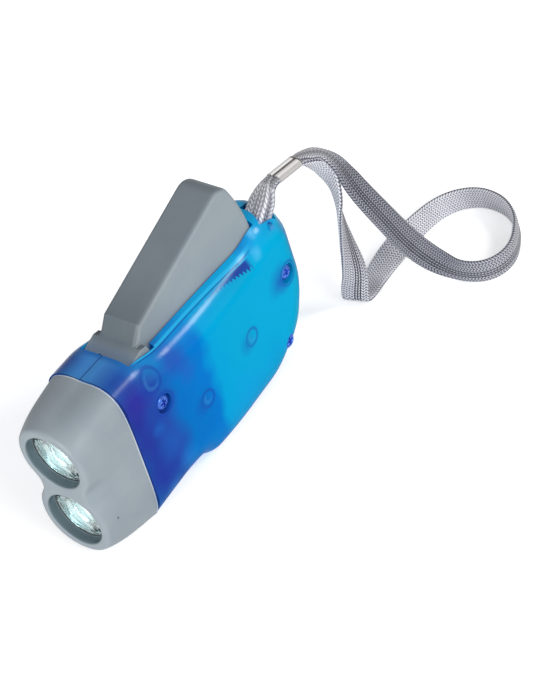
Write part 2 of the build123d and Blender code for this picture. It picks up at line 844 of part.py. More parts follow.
def return_spring():
    """A torsion spring on the pin: one leg under the roof, one under the lever's back.

    Its turns are quarter arcs of a helix, and both legs leave along its tangent."""
    radius = spring_coil_radius
    inside = hub_radius - lever_wall - spring_wire / 2 - spring_leg_gap
    leg_length = math.hypot(spring_lever_leg, inside)
    leg_angle = lever_open_angle + math.degrees(math.atan2(inside, spring_lever_leg))
    start = leg_angle + math.degrees(math.acos(radius / leg_length))
    roof_room = top_height - wall - spring_wire / 2 - fit_gap - pivot_height
    roof_length = math.hypot(spring_roof_leg, roof_room)
    roof_angle = 180 - math.degrees(math.atan2(roof_room, spring_roof_leg))
    finish = roof_angle - math.degrees(math.acos(radius / roof_length))
    sweep_angle = finish + 360 * spring_turns - start
    quarters = round(sweep_angle / 90)
    turn_step = sweep_angle / quarters
    rise = spring_pitch * sweep_angle / 360

    def on_coil(quarter):
        angle = start + turn_step * quarter
        x, z = polar(pivot, radius, angle)
        return Vector(x, -rise / 2 + rise * quarter / quarters, z)

    arcs = [ThreePointArc(on_coil(q), on_coil(q + 1 / 2), on_coil(q + 1)) for q in range(quarters)]
    first = arcs[0] % 0
    last = arcs[-1] % 1
    lever_leg = Line(on_coil(0) - first * math.sqrt(leg_length ** 2 - radius ** 2), on_coil(0))
    roof_leg = Line(on_coil(quarters), on_coil(quarters) + last * math.sqrt(roof_length ** 2 - radius ** 2))
    path = Wire([*lever_leg.edges(), *[e for arc in arcs for e in arc.edges()], *roof_leg.edges()])
    section = Plane(path @ 0, z_dir=path % 0) * Circle(spring_wire / 2)
    print("spring: gap between turns", round(spring_pitch - spring_wire, 2), "radius", radius)
    return sweep(section, path=path)


def button_cells():
    """Three button cells in a row, each with its smaller cap."""
    cells = []
    start = -cell_count * cell_height / 2
    for index in range(cell_count):
        low = start + index * cell_height
        cap = low + cell_height - cell_step
        profile = [(low, 0), (low, cell_radius), (cap, cell_radius), (cap, cell_cap_radius),
                   (low + cell_height, cell_cap_radius), (low + cell_height, 0)]
        cells.append(turned_along_y(profile, front_x + cell_from_front, cell_axis_height))
    return Compound(children=cells)


def cell_clip():
    """The sprung metal strip that holds the cells at both ends."""
    x = front_x + cell_from_front
    half = cell_count * cell_height / 2
    high_z = cell_axis_height + cell_radius / 2
    outer = block((x - clip_width / 2, -half - clip_thickness, clip_low_z),
                  (x + clip_width / 2, half + clip_thickness, high_z))
    inner = block((x - clip_width, -half, clip_low_z + clip_thickness),
                  (x + clip_width, half, high_z + overrun))
    return outer - inner


def circuit_board():
    """The upright board beside the cells, which carries the switch."""
    x = front_x + board_from_front
    low_z = board_axis_height - board_height / 2
    return block((x - board_length / 2, board_outer_y - board_thickness, low_z),
                 (x + board_length / 2, board_outer_y, low_z + board_height))


def switch_body():
    """The slide switch's case on the board, open along its top for the button's stem."""
    x = front_x + board_from_front
    low_y = board_outer_y
    case = block((x - switch_length / 2, low_y, board_axis_height - switch_height / 2),
                 (x + switch_length / 2, low_y + switch_depth, board_axis_height + switch_height / 2))
    groove = button_stem + 2 * button_slot_gap
    length = button_stem + switch_travel + 2 * button_slot_gap
    cut = block((x - length / 2, low_y + switch_depth / 2, board_axis_height - groove / 2),
                (x + length / 2, low_y + switch_depth + overrun, board_axis_height + groove / 2))
    return case - cut


def switch_button():
    """The sliding button: a stem in the switch and a ribbed knob outside."""
    x = front_x + board_from_front - switch_travel / 2
    face_y = inner_face_y(board_from_front) + wall
    low_y = board_outer_y + switch_depth / 2 + button_slot_gap
    stem = block((x - button_stem / 2, low_y, board_axis_height - button_stem / 2),
                 (x + button_stem / 2, face_y + button_stand, board_axis_height + button_stem / 2))
    knob_low = face_y - button_recess + button_clear
    knob = block((x - button_length / 2, knob_low, board_axis_height - button_height / 2),
                 (x + button_length / 2, face_y + button_stand, board_axis_height + button_height / 2))
    return stem + knob


def screw_tip_y(along):
    """Where the tip of a case screw ends."""
    return -(inner_face_y(along) + wall) + screw_recess_depth + screw_length


def case_screws():
    """The three screws that hold the halves together, heads in their recesses."""
    screws = []
    for along, up in screw_places:
        seat = -(inner_face_y(along) + wall) + screw_recess_depth
        crown_radius = screw_head_radius * screw_crown_share
        profile = [(seat - screw_head_height, 0), (seat - screw_head_height, crown_radius),
                   (seat - screw_head_height / 2, screw_head_radius), (seat, screw_head_radius),
                   (seat, screw_shank_radius), (screw_tip_y(along), screw_shank_radius),
                   (screw_tip_y(along), 0)]
        screws.append(turned_along_y(profile, front_x + along, up))
    return Compound(children=screws)


def strap_pin():
    """The short pin that the strap is looped round."""
    low_y = strap_pin_end(-1) + fit_gap
    return rod_y(*strap_pin_place(), strap_pin_radius, low_y, strap_pin_end(1) - fit_gap)


def ferrule_point(along, side):
    """A point in line with the ferrule, on one side of its middle."""
    turn = math.radians(ferrule_tilt)
    x = rear_x + ferrule_beyond + along * math.cos(turn)
    return (x, strap_middle_y + side, ferrule_axis_height - along * math.sin(turn))


def strap_ferrule():
    """The crimped metal sleeve: two rolls side by side, one round each leg of the strap."""
    inner_radius = strap_thickness / 2 + strap_play
    outer_radius = inner_radius + ferrule_wall
    rolls = None
    bores = None
    for side in (-leg_spacing / 2, leg_spacing / 2):
        roll = Circle(outer_radius).moved(Pos(0, side))
        bore = Circle(inner_radius).moved(Pos(0, side))
        rolls = roll if rolls is None else rolls + roll
        bores = bore if bores is None else bores + bore
    bridge = Rectangle(outer_radius * 2 - ferrule_waist, leg_spacing)
    sleeve = extrude(rolls + bridge - bores, ferrule_length / 2, both=True)
    x, y, z = ferrule_point(0, 0)
    return Pos(x, y, z) * Rot(0, 90 + ferrule_tilt, 0) * sleeve


def bend_radii(points):
    """One radius for each inner point, as large as its two runs allow."""
    radii = []
    for before, here, after in zip(points, points[1:], points[2:]):
        arriving = Vector(*here) - Vector(*before)
        leaving = Vector(*after) - Vector(*here)
        half_turn = math.radians(arriving.get_angle(leaving) / 2)
        radii.append(bend_share * min(arriving.length, leaving.length) / math.tan(half_turn))
    return radii


def strap_tube(name, points):
    """A stretch of the strap as a tube, with its length and volume printed beside it."""
    radii = bend_radii(points)
    path = FilletPolyline(*points, radius=radii)
    section = Plane(path @ 0, z_dir=path % 0) * Circle(strap_thickness / 2)
    tube = sweep(section, path=path)
    expected = math.pi * strap_thickness ** 2 / 4 * path.length
    print(name, "length", round(path.length, 1), "volume", round(tube.volume, 1), "of", round(expected, 1),
          "radii", [round(radius, 1) for radius in radii])
    return tube


def strap_anchor():
    """The short loop from the ferrule's middle round the strap pin and back."""
    leg_side = leg_spacing / 2
    x, z = strap_pin_place()
    reach = strap_pin_radius + strap_thickness / 2 + strap_play
    turn = math.radians(strap_exit_angle)

    def beside_pin(along, up):
        return (x + along * math.cos(turn) - up * math.sin(turn), strap_middle_y,
                z + along * math.sin(turn) + up * math.cos(turn))

    front = -ferrule_length / 2 - ferrule_lead
    points = [ferrule_point(0, leg_side), ferrule_point(front, leg_side),
              beside_pin(strap_slot_reach, reach), beside_pin(-reach, reach), beside_pin(-reach, -reach),
              beside_pin(strap_slot_reach, -reach), ferrule_point(front, -leg_side),
              ferrule_point(0, -leg_side)]
    return strap_tube("strap_anchor", points)


def wrist_strap():
    """The wrist loop: out of the ferrule, round on the floor and back into it."""
    leg_side = leg_spacing / 2
    start = strap_play / 2
    mouth = ferrule_length / 2
    way = [(rear_x + beyond, side, up * ferrule_axis_height) for beyond, side, up in strap_route]
    points = [ferrule_point(start, leg_side), ferrule_point(mouth, leg_side), *way,
              ferrule_point(mouth, -leg_side), ferrule_point(start, -leg_side)]
    return strap_tube("wrist_strap", points)


forms = (housing_form(0), housing_form(wall), housing_form(head_wall + fit_gap),
         housing_form(head_wall + fit_gap + spigot_wall))
upper, lower = lens_centres()
nodes = {
    "left_shell": left_shell(forms),
    "right_shell": right_shell(forms),
    "head_cap": head_cap(),
    "lens_upper": lens(upper),
    "lens_lower": lens(lower),
    "reflector_upper": reflector(upper),
    "reflector_lower": reflector(lower),
    "led_upper": led(upper),
    "led_lower": led(lower),
    "led_board": led_board(),
    "lever": lever(),
    "rack_sector": rack_sector(),
    "pivot_pin": pivot_pin(),
    "return_spring": return_spring(),
    "drive_shaft": drive_shaft(),
    "drive_pinion": drive_pinion(),
    "drive_wheel": drive_wheel(),
    "rotor_shaft": rotor_shaft(),
    "rotor_pinion": rotor_pinion(),
    "flywheel": flywheel(),
    "magnet_ring": magnet_ring(),
    "stator_yoke": stator_yoke(),
    "stator_coil": stator_coil(),
    "button_cells": button_cells(),
    "cell_clip": cell_clip(),
    "circuit_board": circuit_board(),
    "switch_body": switch_body(),
    "switch_button": switch_button(),
    "case_screws": case_screws(),
    "strap_pin": strap_pin(),
    "strap_ferrule": strap_ferrule(),
    "strap_anchor": strap_anchor(),
    "wrist_strap": wrist_strap(),
}
for name, solid in nodes.items():
    export_step(solid, f"parts/{name}.step")
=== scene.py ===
"""Looks of a hand-squeezed dynamo torch with a see-through blue housing.

The frame holds the moulded and metal pieces. This script gives each of them its material, and
makes the pieces that the frame has no detail for: the braided strap, the rippled mirror bowls
and the case screws with their cross recesses. It then sets the studio and the camera.
"""
from __future__ import annotations

import json
import logging
import math
from dataclasses import dataclass, field
from enum import Enum
from functools import cached_property
from typing import Any, Sequence

import bpy
import numpy as np
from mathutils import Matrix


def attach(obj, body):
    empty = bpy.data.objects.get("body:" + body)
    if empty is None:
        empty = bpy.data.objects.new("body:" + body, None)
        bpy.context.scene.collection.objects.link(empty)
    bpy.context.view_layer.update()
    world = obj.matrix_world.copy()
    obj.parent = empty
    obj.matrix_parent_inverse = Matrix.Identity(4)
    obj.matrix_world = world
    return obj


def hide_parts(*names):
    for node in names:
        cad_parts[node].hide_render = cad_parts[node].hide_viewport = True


LOG = logging.getLogger("torch")
MM = 0.001
HOUSING = "housing"
Point = tuple[float, float, float]
Span = tuple[float, float]
Coat = tuple[Any, str]
# Where a noise's values mostly lie.
NOISE: Span = (0.3, 0.7)


def linear(code: str) -> tuple[float, float, float, float]:
    """Turns an sRGB hex colour into linear light.

    Args:
        code: six hex digits, with or without a leading hash.

    Returns:
        Red, green, blue and an alpha of one.
    """
    digits = code.lstrip("#")
    parts = [int(digits[i:i + 2], 16) / 255 for i in (0, 2, 4)]
    light = [p / 12.92 if p <= 0.04045 else ((p + 0.055) / 1.055) ** 2.4 for p in parts]
    return (light[0], light[1], light[2], 1.0)


class Graph:
    """The nodes of one material or world, which end in one output."""

    def __init__(self, owner: bpy.types.Material | bpy.types.World, output: str = "OutputMaterial") -> None:
        """Empties the owner's node tree and adds its output.

        Args:
            owner: the material or world that the nodes belong to.
            output: the kind of its output node.
        """
        owner.use_nodes = True
        self.owner = owner
        self.tree = owner.node_tree
        self.tree.nodes.clear()
        self.output = self.node(output)

    @cached_property
    def place(self) -> bpy.types.NodeSocket:
        """Where a point lies on the torch, in metres."""
        return self.node("TexCoord").outputs["Object"]

    def node(self, kind: str, inputs: Sequence[Any] | dict[Any, Any] = (), **settings: Any) -> bpy.types.Node:
        """Adds a node, sets its options and fills or links its inputs.

        Args:
            kind: the node's type, without its common first words.
            inputs: values, sockets or nodes, in order or by the input's name or number. Of a
                node, the first output in use is linked.
            **settings: the node's own options.

        Returns:
            The new node.
        """
        made = self.tree.nodes.new(f"ShaderNode{kind}")
        for key, value in settings.items():
            setattr(made, key, value)
        for key, value in inputs.items() if isinstance(inputs, dict) else enumerate(inputs):
            source = value
            if isinstance(value, bpy.types.Node):
                source = next(output for output in value.outputs if output.enabled)
            if isinstance(source, bpy.types.NodeSocket):
                self.tree.links.new(source, made.inputs[key])
            else:
                made.inputs[key].default_value = source
        return made

    def overlap(self, *marks: Any) -> Any:
        """One where all the marks are one: their product.

        Args:
            *marks: values or sockets, from nothing to one.

        Returns:
            The product.
        """
        shared = marks[0]
        for mark in marks[1:]:
            shared = self.node("Math", (shared, mark), operation="MULTIPLY")
        return shared

    def between(self, value: Any, rise: Span, fall: Span) -> Any:
        """One between two places on a value, soft over the span before and the span after them."""
        return self.overlap(self.node("MapRange", (value, *rise, 0.0, 1.0)),
                            self.node("MapRange", (value, *fall, 1.0, 0.0)))

    def disc(self, centre: Point, fall: Span, flat: Point = (1.0, 0.0, 1.0), place: Any = None) -> Any:
        """One round an axis through a centre, falling to nothing between two radii.

        Args:
            centre: a point on the axis.
            fall: the radii where it starts to fall and where it is gone.
            flat: one for each direction that counts and nothing for the axis.
            place: the points to read instead of the object's own.

        Returns:
            The mark.
        """
        place = self.place if place is None else place
        away = self.node("VectorMath", (place, centre), operation="SUBTRACT")
        across = self.node("VectorMath", (away, flat), operation="MULTIPLY")
        reach = self.node("VectorMath", (across,), operation="LENGTH")
        return self.node("MapRange", (reach, *fall, 1.0, 0.0))

    def layers(self, tone: Any, *coats: Coat) -> Any:
        """Lays colours over a tone one after another, each where its mark is one.

        Args:
            tone: the colour underneath.
            *coats: pairs of a mark and a hex colour.

        Returns:
            The colour on top.
        """
        for mark, code in coats:
            tone = self.node("Mix", {0: mark, 6: tone, 7: linear(code)}, data_type="RGBA")
        return tone

    def finish(self, surface: bpy.types.Node) -> Any:
        """Joins the surface to the output and hands over the material or world."""
        self.tree.links.new(surface.outputs[0], self.output.inputs["Surface"])
        return self.owner


@dataclass(frozen=True)
class MouldedPlastic:
    """Satin moulded plastic with a spark-eroded grain and faint mottling.

    The real grain is near 0.05 mm. It is drawn as coarse as it needs to show.
    """

    name: str
    colour: str
    shade: str
    roughness: float = 0.45
    roughness_spread: float = 0.06
    grain: float = 0.35 * MM
    depth: float = 0.012 * MM
    mottle: float = 9.0 * MM
    mottle_cut: Span = (0.35, 0.65)
    shine: float = 0.45
    hollows: tuple[Point, ...] = ()
    hollow_fall: Span = (9.45 * MM, 9.7 * MM)
    hollow_shade: str = "#5F7078"
    pips: tuple[Point, ...] = ()
    pip_fall: Span = (0.2 * MM, 0.5 * MM)
    pip_shade: str = "#46525A"
    edge_highlight: str = ""
    edge_reach: float = 0.5 * MM
    edge_match: Span = (0.88, 0.985)
    edge_share: float = 0.75
    rim_rise: Span = (-33.85 * MM, -33.7 * MM)
    rim_fall: Span = (-33.2 * MM, -33.0 * MM)
    rim_share: float = 0.8
    top_shade: str = ""
    top_slope: Span = (0.45, 0.8)
    top_share: float = 0.6
    hinge_end: Span = (-14 * MM, 4 * MM)
    hinge_share: float = 0.4
    step_slope: Span = (-0.8, -0.4)
    step_end: Span = (-16 * MM, -8 * MM)
    step_share: float = 0.9
    neck: Span = (-19 * MM, -15 * MM)
    neck_share: float = 0.35

    def edges(self, graph: Graph, along: Any) -> Any:
        """Where the paler painted highlight goes: one on sharp edges, where a rounded normal leaves the true
        one, and on the head's rim.

        Args:
            graph: the nodes of the material.
            along: the place along the torch.

        Returns:
            The mark.
        """
        soft = graph.node("Bevel", (self.edge_reach,), samples=6)
        true = graph.node("NewGeometry").outputs["True Normal"]
        match = graph.node("VectorMath", (soft, true), operation="DOT_PRODUCT")
        sharp = graph.node("MapRange", (match, *self.edge_match, self.edge_share, 0.0))
        rim = graph.overlap(graph.between(along, self.rim_rise, self.rim_fall), self.rim_share)
        return graph.node("Math", (sharp, rim), operation="MAXIMUM")

    def top_shade_mask(self, graph: Graph, along: Any) -> Any:
        """Painted shade: one on the lever's top and on its step by the hinge, less so on the neck ahead of
        it.

        Args:
            graph: the nodes of the material.
            along: the place along the torch.

        Returns:
            The mark.
        """
        facing = graph.node("SeparateXYZ", (graph.node("NewGeometry").outputs["Normal"],)).outputs
        above = graph.node("MapRange", (facing["Z"], *self.top_slope, 0.0, self.top_share))
        near_hinge = graph.node("MapRange", (along, *self.hinge_end, self.hinge_share, 0.0))
        step = graph.overlap(graph.node("MapRange", (facing["X"], *self.step_slope, self.step_share, 0.0)),
                             graph.node("MapRange", (along, *self.step_end, 1.0, 0.0)))
        top = graph.node("Math", (above, near_hinge), operation="ADD")
        every = graph.node("Math", (top, step), operation="ADD")
        return graph.overlap(every, graph.node("MapRange", (along, *self.neck, self.neck_share, 1.0)))

    def make(self) -> bpy.types.Material:
        """Builds the material.

        Returns:
            The material.
        """
        graph = Graph(bpy.data.materials.new(self.name))
        mottle = graph.node("TexNoise", {"Vector": graph.place, "Scale": 1 / self.mottle, "Detail": 4.0})
        fine = graph.node("TexNoise", {"Vector": graph.place, "Scale": 1 / self.grain, "Detail": 2.0})
        cloudy = graph.node("MapRange", (mottle, *self.mottle_cut, 0.0, 1.0))
        tone = graph.layers(linear(self.shade), (cloudy, self.colour))
        # Lens hollows darkened as painted shade.
        across = (0.0, 1.0, 1.0)
        tone = graph.layers(tone, *[
            (graph.disc(hollow, self.hollow_fall, across), self.hollow_shade) for hollow in self.hollows])
        tone = graph.layers(tone, *[(graph.disc(pip, self.pip_fall), self.pip_shade) for pip in self.pips])
        along = graph.node("SeparateXYZ", (graph.place,))
        # Paler sharp edges and head rim: a painted highlight.
        if self.edge_highlight:
            tone = graph.layers(tone, (self.edges(graph, along), self.edge_highlight))
        # Darker lever top, step and hinge end: painted shade.
        if self.top_shade:
            tone = graph.node("Mix", {0: self.top_shade_mask(graph, along), 6: tone, 7: linear(self.top_shade)},
                              data_type="RGBA", blend_type="MULTIPLY")
        rough = graph.node("MapRange", (fine, *NOISE, self.roughness - self.roughness_spread,
                                        self.roughness + self.roughness_spread))
        relief = graph.node("Bump", {"Height": fine, "Distance": self.depth, "Strength": 0.6})
        return graph.finish(graph.node("BsdfPrincipled", {
            "Base Color": tone, "Roughness": rough, "IOR": 1.5, "Specular IOR Level": self.shine,
            "Normal": relief}))


@dataclass(frozen=True)
class ClearPlastic:
    """Clear moulded plastic that lets the lamps reach what lies behind it."""

    name: str
    colour: str
    roughness: float = 0.02
    wave: float = 14.0 * MM
    wave_depth: float = 0.005 * MM

    def make(self) -> bpy.types.Material:
        """Builds the material: clear resin to the eye, and plain tinted air to a shadow ray.

        Returns:
            The material.
        """
        graph = Graph(bpy.data.materials.new(self.name))
        wave = graph.node("TexNoise", {"Vector": graph.place, "Scale": 1 / self.wave, "Detail": 2.0})
        relief = graph.node("Bump", {"Height": wave, "Distance": self.wave_depth, "Strength": 1.0})
        surface = graph.node("BsdfPrincipled", {
            "Base Color": linear(self.colour), "Roughness": self.roughness, "IOR": 1.49,
            "Transmission Weight": 1.0, "Normal": relief})
        through = graph.node("BsdfTransparent", {"Color": linear(self.colour)})
        shadow = graph.node("LightPath").outputs["Is Shadow Ray"]
        return graph.finish(graph.node("MixShader", (shadow, surface, through)))


@dataclass(frozen=True)
class PaintedPatch:
    """A soft patch on the shell's sides, standing in for what shows through from inside: painted shade where
    it is darker than the wall, painted light where it is paler.

    Its place and radii are in millimetres.
    """

    x: float
    z: float
    start: float
    end: float
    share: float
    colour: str

    def coat(self, graph: Graph, place: Any) -> Coat:
        """The patch, read at places whose drift makes its border uneven.

        Args:
            graph: the nodes of the material.
            place: the places to read, with their drift.

        Returns:
            The patch's mark and colour.
        """
        fall = (self.start * MM, self.end * MM)
        patch = graph.disc((self.x * MM, 0.0, self.z * MM), fall, place=place)
        return graph.overlap(patch, self.share), self.colour


@dataclass(frozen=True)
class Boss:
    """A seat behind the wall, painted on it: a ring and a smear ahead of it in painted shade, and a faint
    crescent of painted highlight.

    Its place and radius are in millimetres, and its falls are distances from its radius.
    """

    x: float
    z: float
    radius: float
    ring_outer: Span = (0.0, 0.6)
    ring_inner: Span = (-1.0, -0.3)
    ring_share: float = 0.6
    smear_shift: Span = (-2.6, -0.6)
    smear_start: float = 0.5
    smear_past: float = 1.2
    smear_share: float = 0.4
    crescent_outer: Span = (-1.4, -0.9)
    crescent_inner: Span = (-1.9, -1.2)
    crescent_shift: Span = (0.7, 0.5)
    crescent_share: float = 0.14
    shade: str = "#1E44A6"
    light: str = "#5CC2F0"

    def disc(self, graph: Graph, fall: Span, shift: Span = (0.0, 0.0)) -> Any:
        """A disc round the boss that falls off between two distances from its radius."""
        centre = ((self.x + shift[0]) * MM, 0.0, (self.z + shift[1]) * MM)
        return graph.disc(centre, ((self.radius + fall[0]) * MM, (self.radius + fall[1]) * MM))

    def coats(self, graph: Graph) -> list[Coat]:
        """The ring and smear as painted shade in a dark blue, then the crescent as a painted highlight in a
        light one.

        Args:
            graph: the nodes of the material.

        Returns:
            Both marks with their colours.
        """
        outer, inner = self.disc(graph, self.ring_outer), self.disc(graph, self.ring_inner)
        ring = graph.overlap(graph.node("Math", (outer, inner), operation="SUBTRACT"), self.ring_share)
        smear_fall = (self.smear_start - self.radius, self.smear_past)
        smear = graph.overlap(self.disc(graph, smear_fall, self.smear_shift), self.smear_share)
        dark = graph.node("Math", (ring, smear), operation="MAXIMUM")
        full = self.disc(graph, self.crescent_outer)
        aside = self.disc(graph, self.crescent_inner, self.crescent_shift)
        left = graph.node("Math", (full, aside), operation="SUBTRACT")
        crescent = graph.node("Math", (left, 0.0), operation="MAXIMUM")
        return [(dark, self.shade), (graph.overlap(crescent, self.crescent_share), self.light)]


@dataclass(frozen=True)
class RackShade:
    """Painted shade of the lever's toothed rack, where it shows through the shell's shoulder.

    It is a strip beside the slot whose outer edge is a saw line, drawn by the distance from the
    torch's middle plane.
    """

    pitch: float = 1.5 * MM
    tooth: float = 0.75
    run: Span = (13 * MM, 31 * MM)
    reach: Span = (10.8 * MM, 11.9 * MM)
    edge: Span = (-0.05 * MM, 0.1 * MM)
    inner: Span = (10.3 * MM, 10.6 * MM)
    above: Span = (40 * MM, 42 * MM)
    front: Span = (11 * MM, 24 * MM)
    rear: Span = (29.6 * MM, 31.4 * MM)
    share: float = 0.9
    colour: str = "#222C94"

    def coat(self, graph: Graph, spot: Any, inset: Any) -> Coat:
        """The strip, which grows wider and darker to the rear.

        Args:
            graph: the nodes of the material.
            spot: a place's parts along, across and up.
            inset: how far a place is from the torch's middle plane.

        Returns:
            The strip's mark and colour.
        """
        reach = graph.node("MapRange", (spot["X"], *self.run, *self.reach))
        wave = graph.node("Math", (spot["X"], self.pitch / 2), operation="PINGPONG")
        saw = graph.node("Math", (reach, graph.overlap(wave, self.tooth)), operation="ADD")
        within = graph.node("Math", (saw, inset), operation="SUBTRACT")
        strip = graph.overlap(graph.node("MapRange", (within, *self.edge, 0.0, 1.0)),
                              graph.node("MapRange", (inset, *self.inner, 0.0, 1.0)),
                              graph.node("MapRange", (spot["Z"], *self.above, 0.0, 1.0)),
                              graph.between(spot["X"], self.front, self.rear), self.share)
        return strip, self.colour


@dataclass(frozen=True)
class SlotRim:
    """The lever slot's lip in a painted highlight, with a groove of painted shade outside it."""

    front: Span = (-22 * MM, -19 * MM)
    rear: Span = (30 * MM, 35 * MM)
    share: float = 0.8
    lip_rise: Span = (8.7 * MM, 9.0 * MM)
    lip_fall: Span = (9.6 * MM, 10.1 * MM)
    lip_highlight: str = "#2FC3F2"
    groove_rise: Span = (9.75 * MM, 9.9 * MM)
    groove_fall: Span = (10.0 * MM, 10.2 * MM)
    groove_shade: str = "#0A3684"

    def coats(self, graph: Graph, spot: Any, inset: Any) -> list[Coat]:
        """The lip and then the groove, both only along the lever.

        Args:
            graph: the nodes of the material.
            spot: a place's parts along, across and up.
            inset: how far a place is from the torch's middle plane.

        Returns:
            Both marks with their colours.
        """
        beside_lever = graph.overlap(graph.between(spot["X"], self.front, self.rear), self.share)
        lip = graph.between(inset, self.lip_rise, self.lip_fall)
        groove = graph.between(inset, self.groove_rise, self.groove_fall)
        return [(graph.overlap(lip, beside_lever), self.lip_highlight),
                (graph.overlap(groove, beside_lever), self.groove_shade)]


@dataclass(frozen=True)
class TintedShell:
    """See-through blue shell: cyan over the white wheel and to the rear, deep blue ahead of it.

    The colour is a tone that runs along the torch, with coats laid over it in order. What lies
    behind the wall is painted on it as soft coats of shade and light, since the wall is more milky than
    clear.
    """

    name: str
    stops: tuple[tuple[float, str], ...]
    bosses: tuple[Boss, ...]
    painted_patches: tuple[PaintedPatch, ...]
    rack: RackShade = RackShade()
    slot: SlotRim = SlotRim()
    body: float = 0.8
    roughness: float = 0.2
    shine: float = 0.38
    side_shine: float = 0.02
    shoulder_side: Span = (0.86, 0.97)
    shoulder_up: Span = (0.05, 0.35)
    milky_ior: float = 1.4
    clear_ior: float = 1.08
    light_through: str = "#7FC4F0"
    ripple: float = 16 * MM
    ripple_depth: float = 0.05 * MM
    drift: float = 2.5 * MM
    cloud: float = 9 * MM
    wander: float = 5 * MM
    belly: Span = (4 * MM, 14 * MM)
    belly_share: float = 0.45
    belly_tone: str = "#1E90D0"
    roof: Span = (45 * MM, 51 * MM)
    roof_share: float = 0.6
    roof_front: Span = (-27 * MM, -18 * MM)
    roof_front_share: float = 0.15
    roof_tone: str = "#12A4E0"
    brow_end: Span = (-25 * MM, -23 * MM)
    brow_rise: Span = (46 * MM, 49 * MM)
    brow_side: Span = (2.5 * MM, 9 * MM)
    brow_share: float = 0.75
    brow_tone: str = "#4C9ADC"
    pin_end: Point = (44.4 * MM, 0.0, 47.9 * MM)
    pin_fall: Span = (0.9 * MM, 1.3 * MM)
    pin_share: float = 0.85
    pin_tone: str = "#1553B0"
    turn_rise: Span = (0.15, 0.35)
    turn_fall: Span = (0.84, 0.93)
    turn_fade: Span = (0.55, 0.88)
    turn_left: float = 0.35
    turn_down: Span = (0.1, 0.45)
    turn_rear: Span = (-0.3, -0.1)
    turn_share: float = 0.95
    turn_shade: str = "#084094"
    halves_seam: Span = (0.1 * MM, 0.22 * MM)
    halves_share: float = 0.8
    head_seam: Span = (-33.2 * MM, -32.95 * MM)
    head_share: float = 0.7
    seam_tone: str = "#0A2360"

    def ground(self, graph: Graph, spot: Any, ripple: Any) -> bpy.types.Node:
        """The tone along the torch, whose borders drift a little.

        Args:
            graph: the nodes of the material.
            spot: a place's parts along, across and up.
            ripple: a slow noise.

        Returns:
            The colour.
        """
        low, high = self.stops[0][0], self.stops[-1][0]
        drift = graph.node("MapRange", (ripple, *NOISE, -self.drift, self.drift))
        along = graph.node("Math", (spot["X"], drift), operation="ADD")
        made = graph.node("ValToRGB", (graph.node("MapRange", (along, low, high, 0.0, 1.0)),))
        elements = made.color_ramp.elements
        while len(elements) < len(self.stops):
            elements.new(0.5)
        for element, (place, code) in zip(elements, self.stops):
            element.position = (place - low) / (high - low)
            element.color = linear(code)
        return made

    def height_coats(self, graph: Graph, spot: Any) -> list[Coat]:
        """A lighter belly, and a lighter roof behind the head.

        Args:
            graph: the nodes of the material.
            spot: a place's parts along, across and up.

        Returns:
            Both marks with their colours.
        """
        belly = graph.node("MapRange", (spot["Z"], *self.belly, self.belly_share, 0.0))
        ahead = graph.node("MapRange", (spot["X"], *self.roof_front, self.roof_front_share, 1.0))
        roof = graph.overlap(graph.node("MapRange", (spot["Z"], *self.roof, 0.0, self.roof_share)), ahead)
        return [(belly, self.belly_tone), (roof, self.roof_tone)]

    def painted_patch_coats(self, graph: Graph) -> list[Coat]:
        """The patches of painted shade and light, with borders that wander.

        Args:
            graph: the nodes of the material.

        Returns:
            A mark and a colour for each patch.
        """
        cloud = graph.node("TexNoise", {"Vector": graph.place, "Scale": 1 / self.cloud, "Detail": 2.0})
        centred = graph.node("VectorMath", (cloud.outputs["Color"], (0.5, 0.5, 0.5)), operation="SUBTRACT")
        shift = graph.node("VectorMath", (centred, (self.wander, 0.0, self.wander)), operation="MULTIPLY")
        place = graph.node("VectorMath", (graph.place, shift), operation="ADD")
        return [painted_patch.coat(graph, place) for painted_patch in self.painted_patches]

    def brow_coat(self, graph: Graph, spot: Any, inset: Any) -> Coat:
        """The pale sheen across the roof between the head and the lever.

        Args:
            graph: the nodes of the material.
            spot: a place's parts along, across and up.
            inset: how far a place is from the torch's middle plane.

        Returns:
            The sheen's mark and colour.
        """
        brow = graph.overlap(graph.node("MapRange", (spot["X"], *self.brow_end, 1.0, 0.0)),
                             graph.node("MapRange", (spot["Z"], *self.brow_rise, 0.0, 1.0)),
                             graph.node("MapRange", (inset, *self.brow_side, self.brow_share, 0.0)))
        return brow, self.brow_tone

    def boss_coats(self, graph: Graph) -> list[Coat]:
        """The strap pin's end as a dot, then each boss."""
        pin = graph.overlap(graph.disc(self.pin_end, self.pin_fall), self.pin_share)
        return [(pin, self.pin_tone)] + [coat for boss in self.bosses for coat in boss.coats(graph)]

    def outline_coats(self, graph: Graph, spot: Any, facing: Any, square: Any, inset: Any) -> list[Coat]:
        """A band of painted shade where the wall turns under and to the rear, and the two seams as dark
        joints.

        Args:
            graph: the nodes of the material.
            spot: a place's parts along, across and up.
            facing: the parts of the direction a surface faces.
            square: how squarely it faces sideways.
            inset: how far a place is from the torch's middle plane.

        Returns:
            Both marks with their colours.
        """
        turned = graph.overlap(graph.between(square, self.turn_rise, self.turn_fall),
                               graph.node("MapRange", (square, *self.turn_fade, 1.0, self.turn_left)),
                               graph.node("MapRange", (facing["Z"], *self.turn_down, self.turn_share, 0.0)),
                               graph.node("MapRange", (facing["X"], *self.turn_rear, 0.0, 1.0)))
        halves = graph.node("MapRange", (inset, *self.halves_seam, self.halves_share, 0.0))
        head = graph.node("MapRange", (spot["X"], *self.head_seam, self.head_share, 0.0))
        seam = graph.node("Math", (halves, head), operation="MAXIMUM")
        return [(turned, self.turn_shade), (seam, self.seam_tone)]

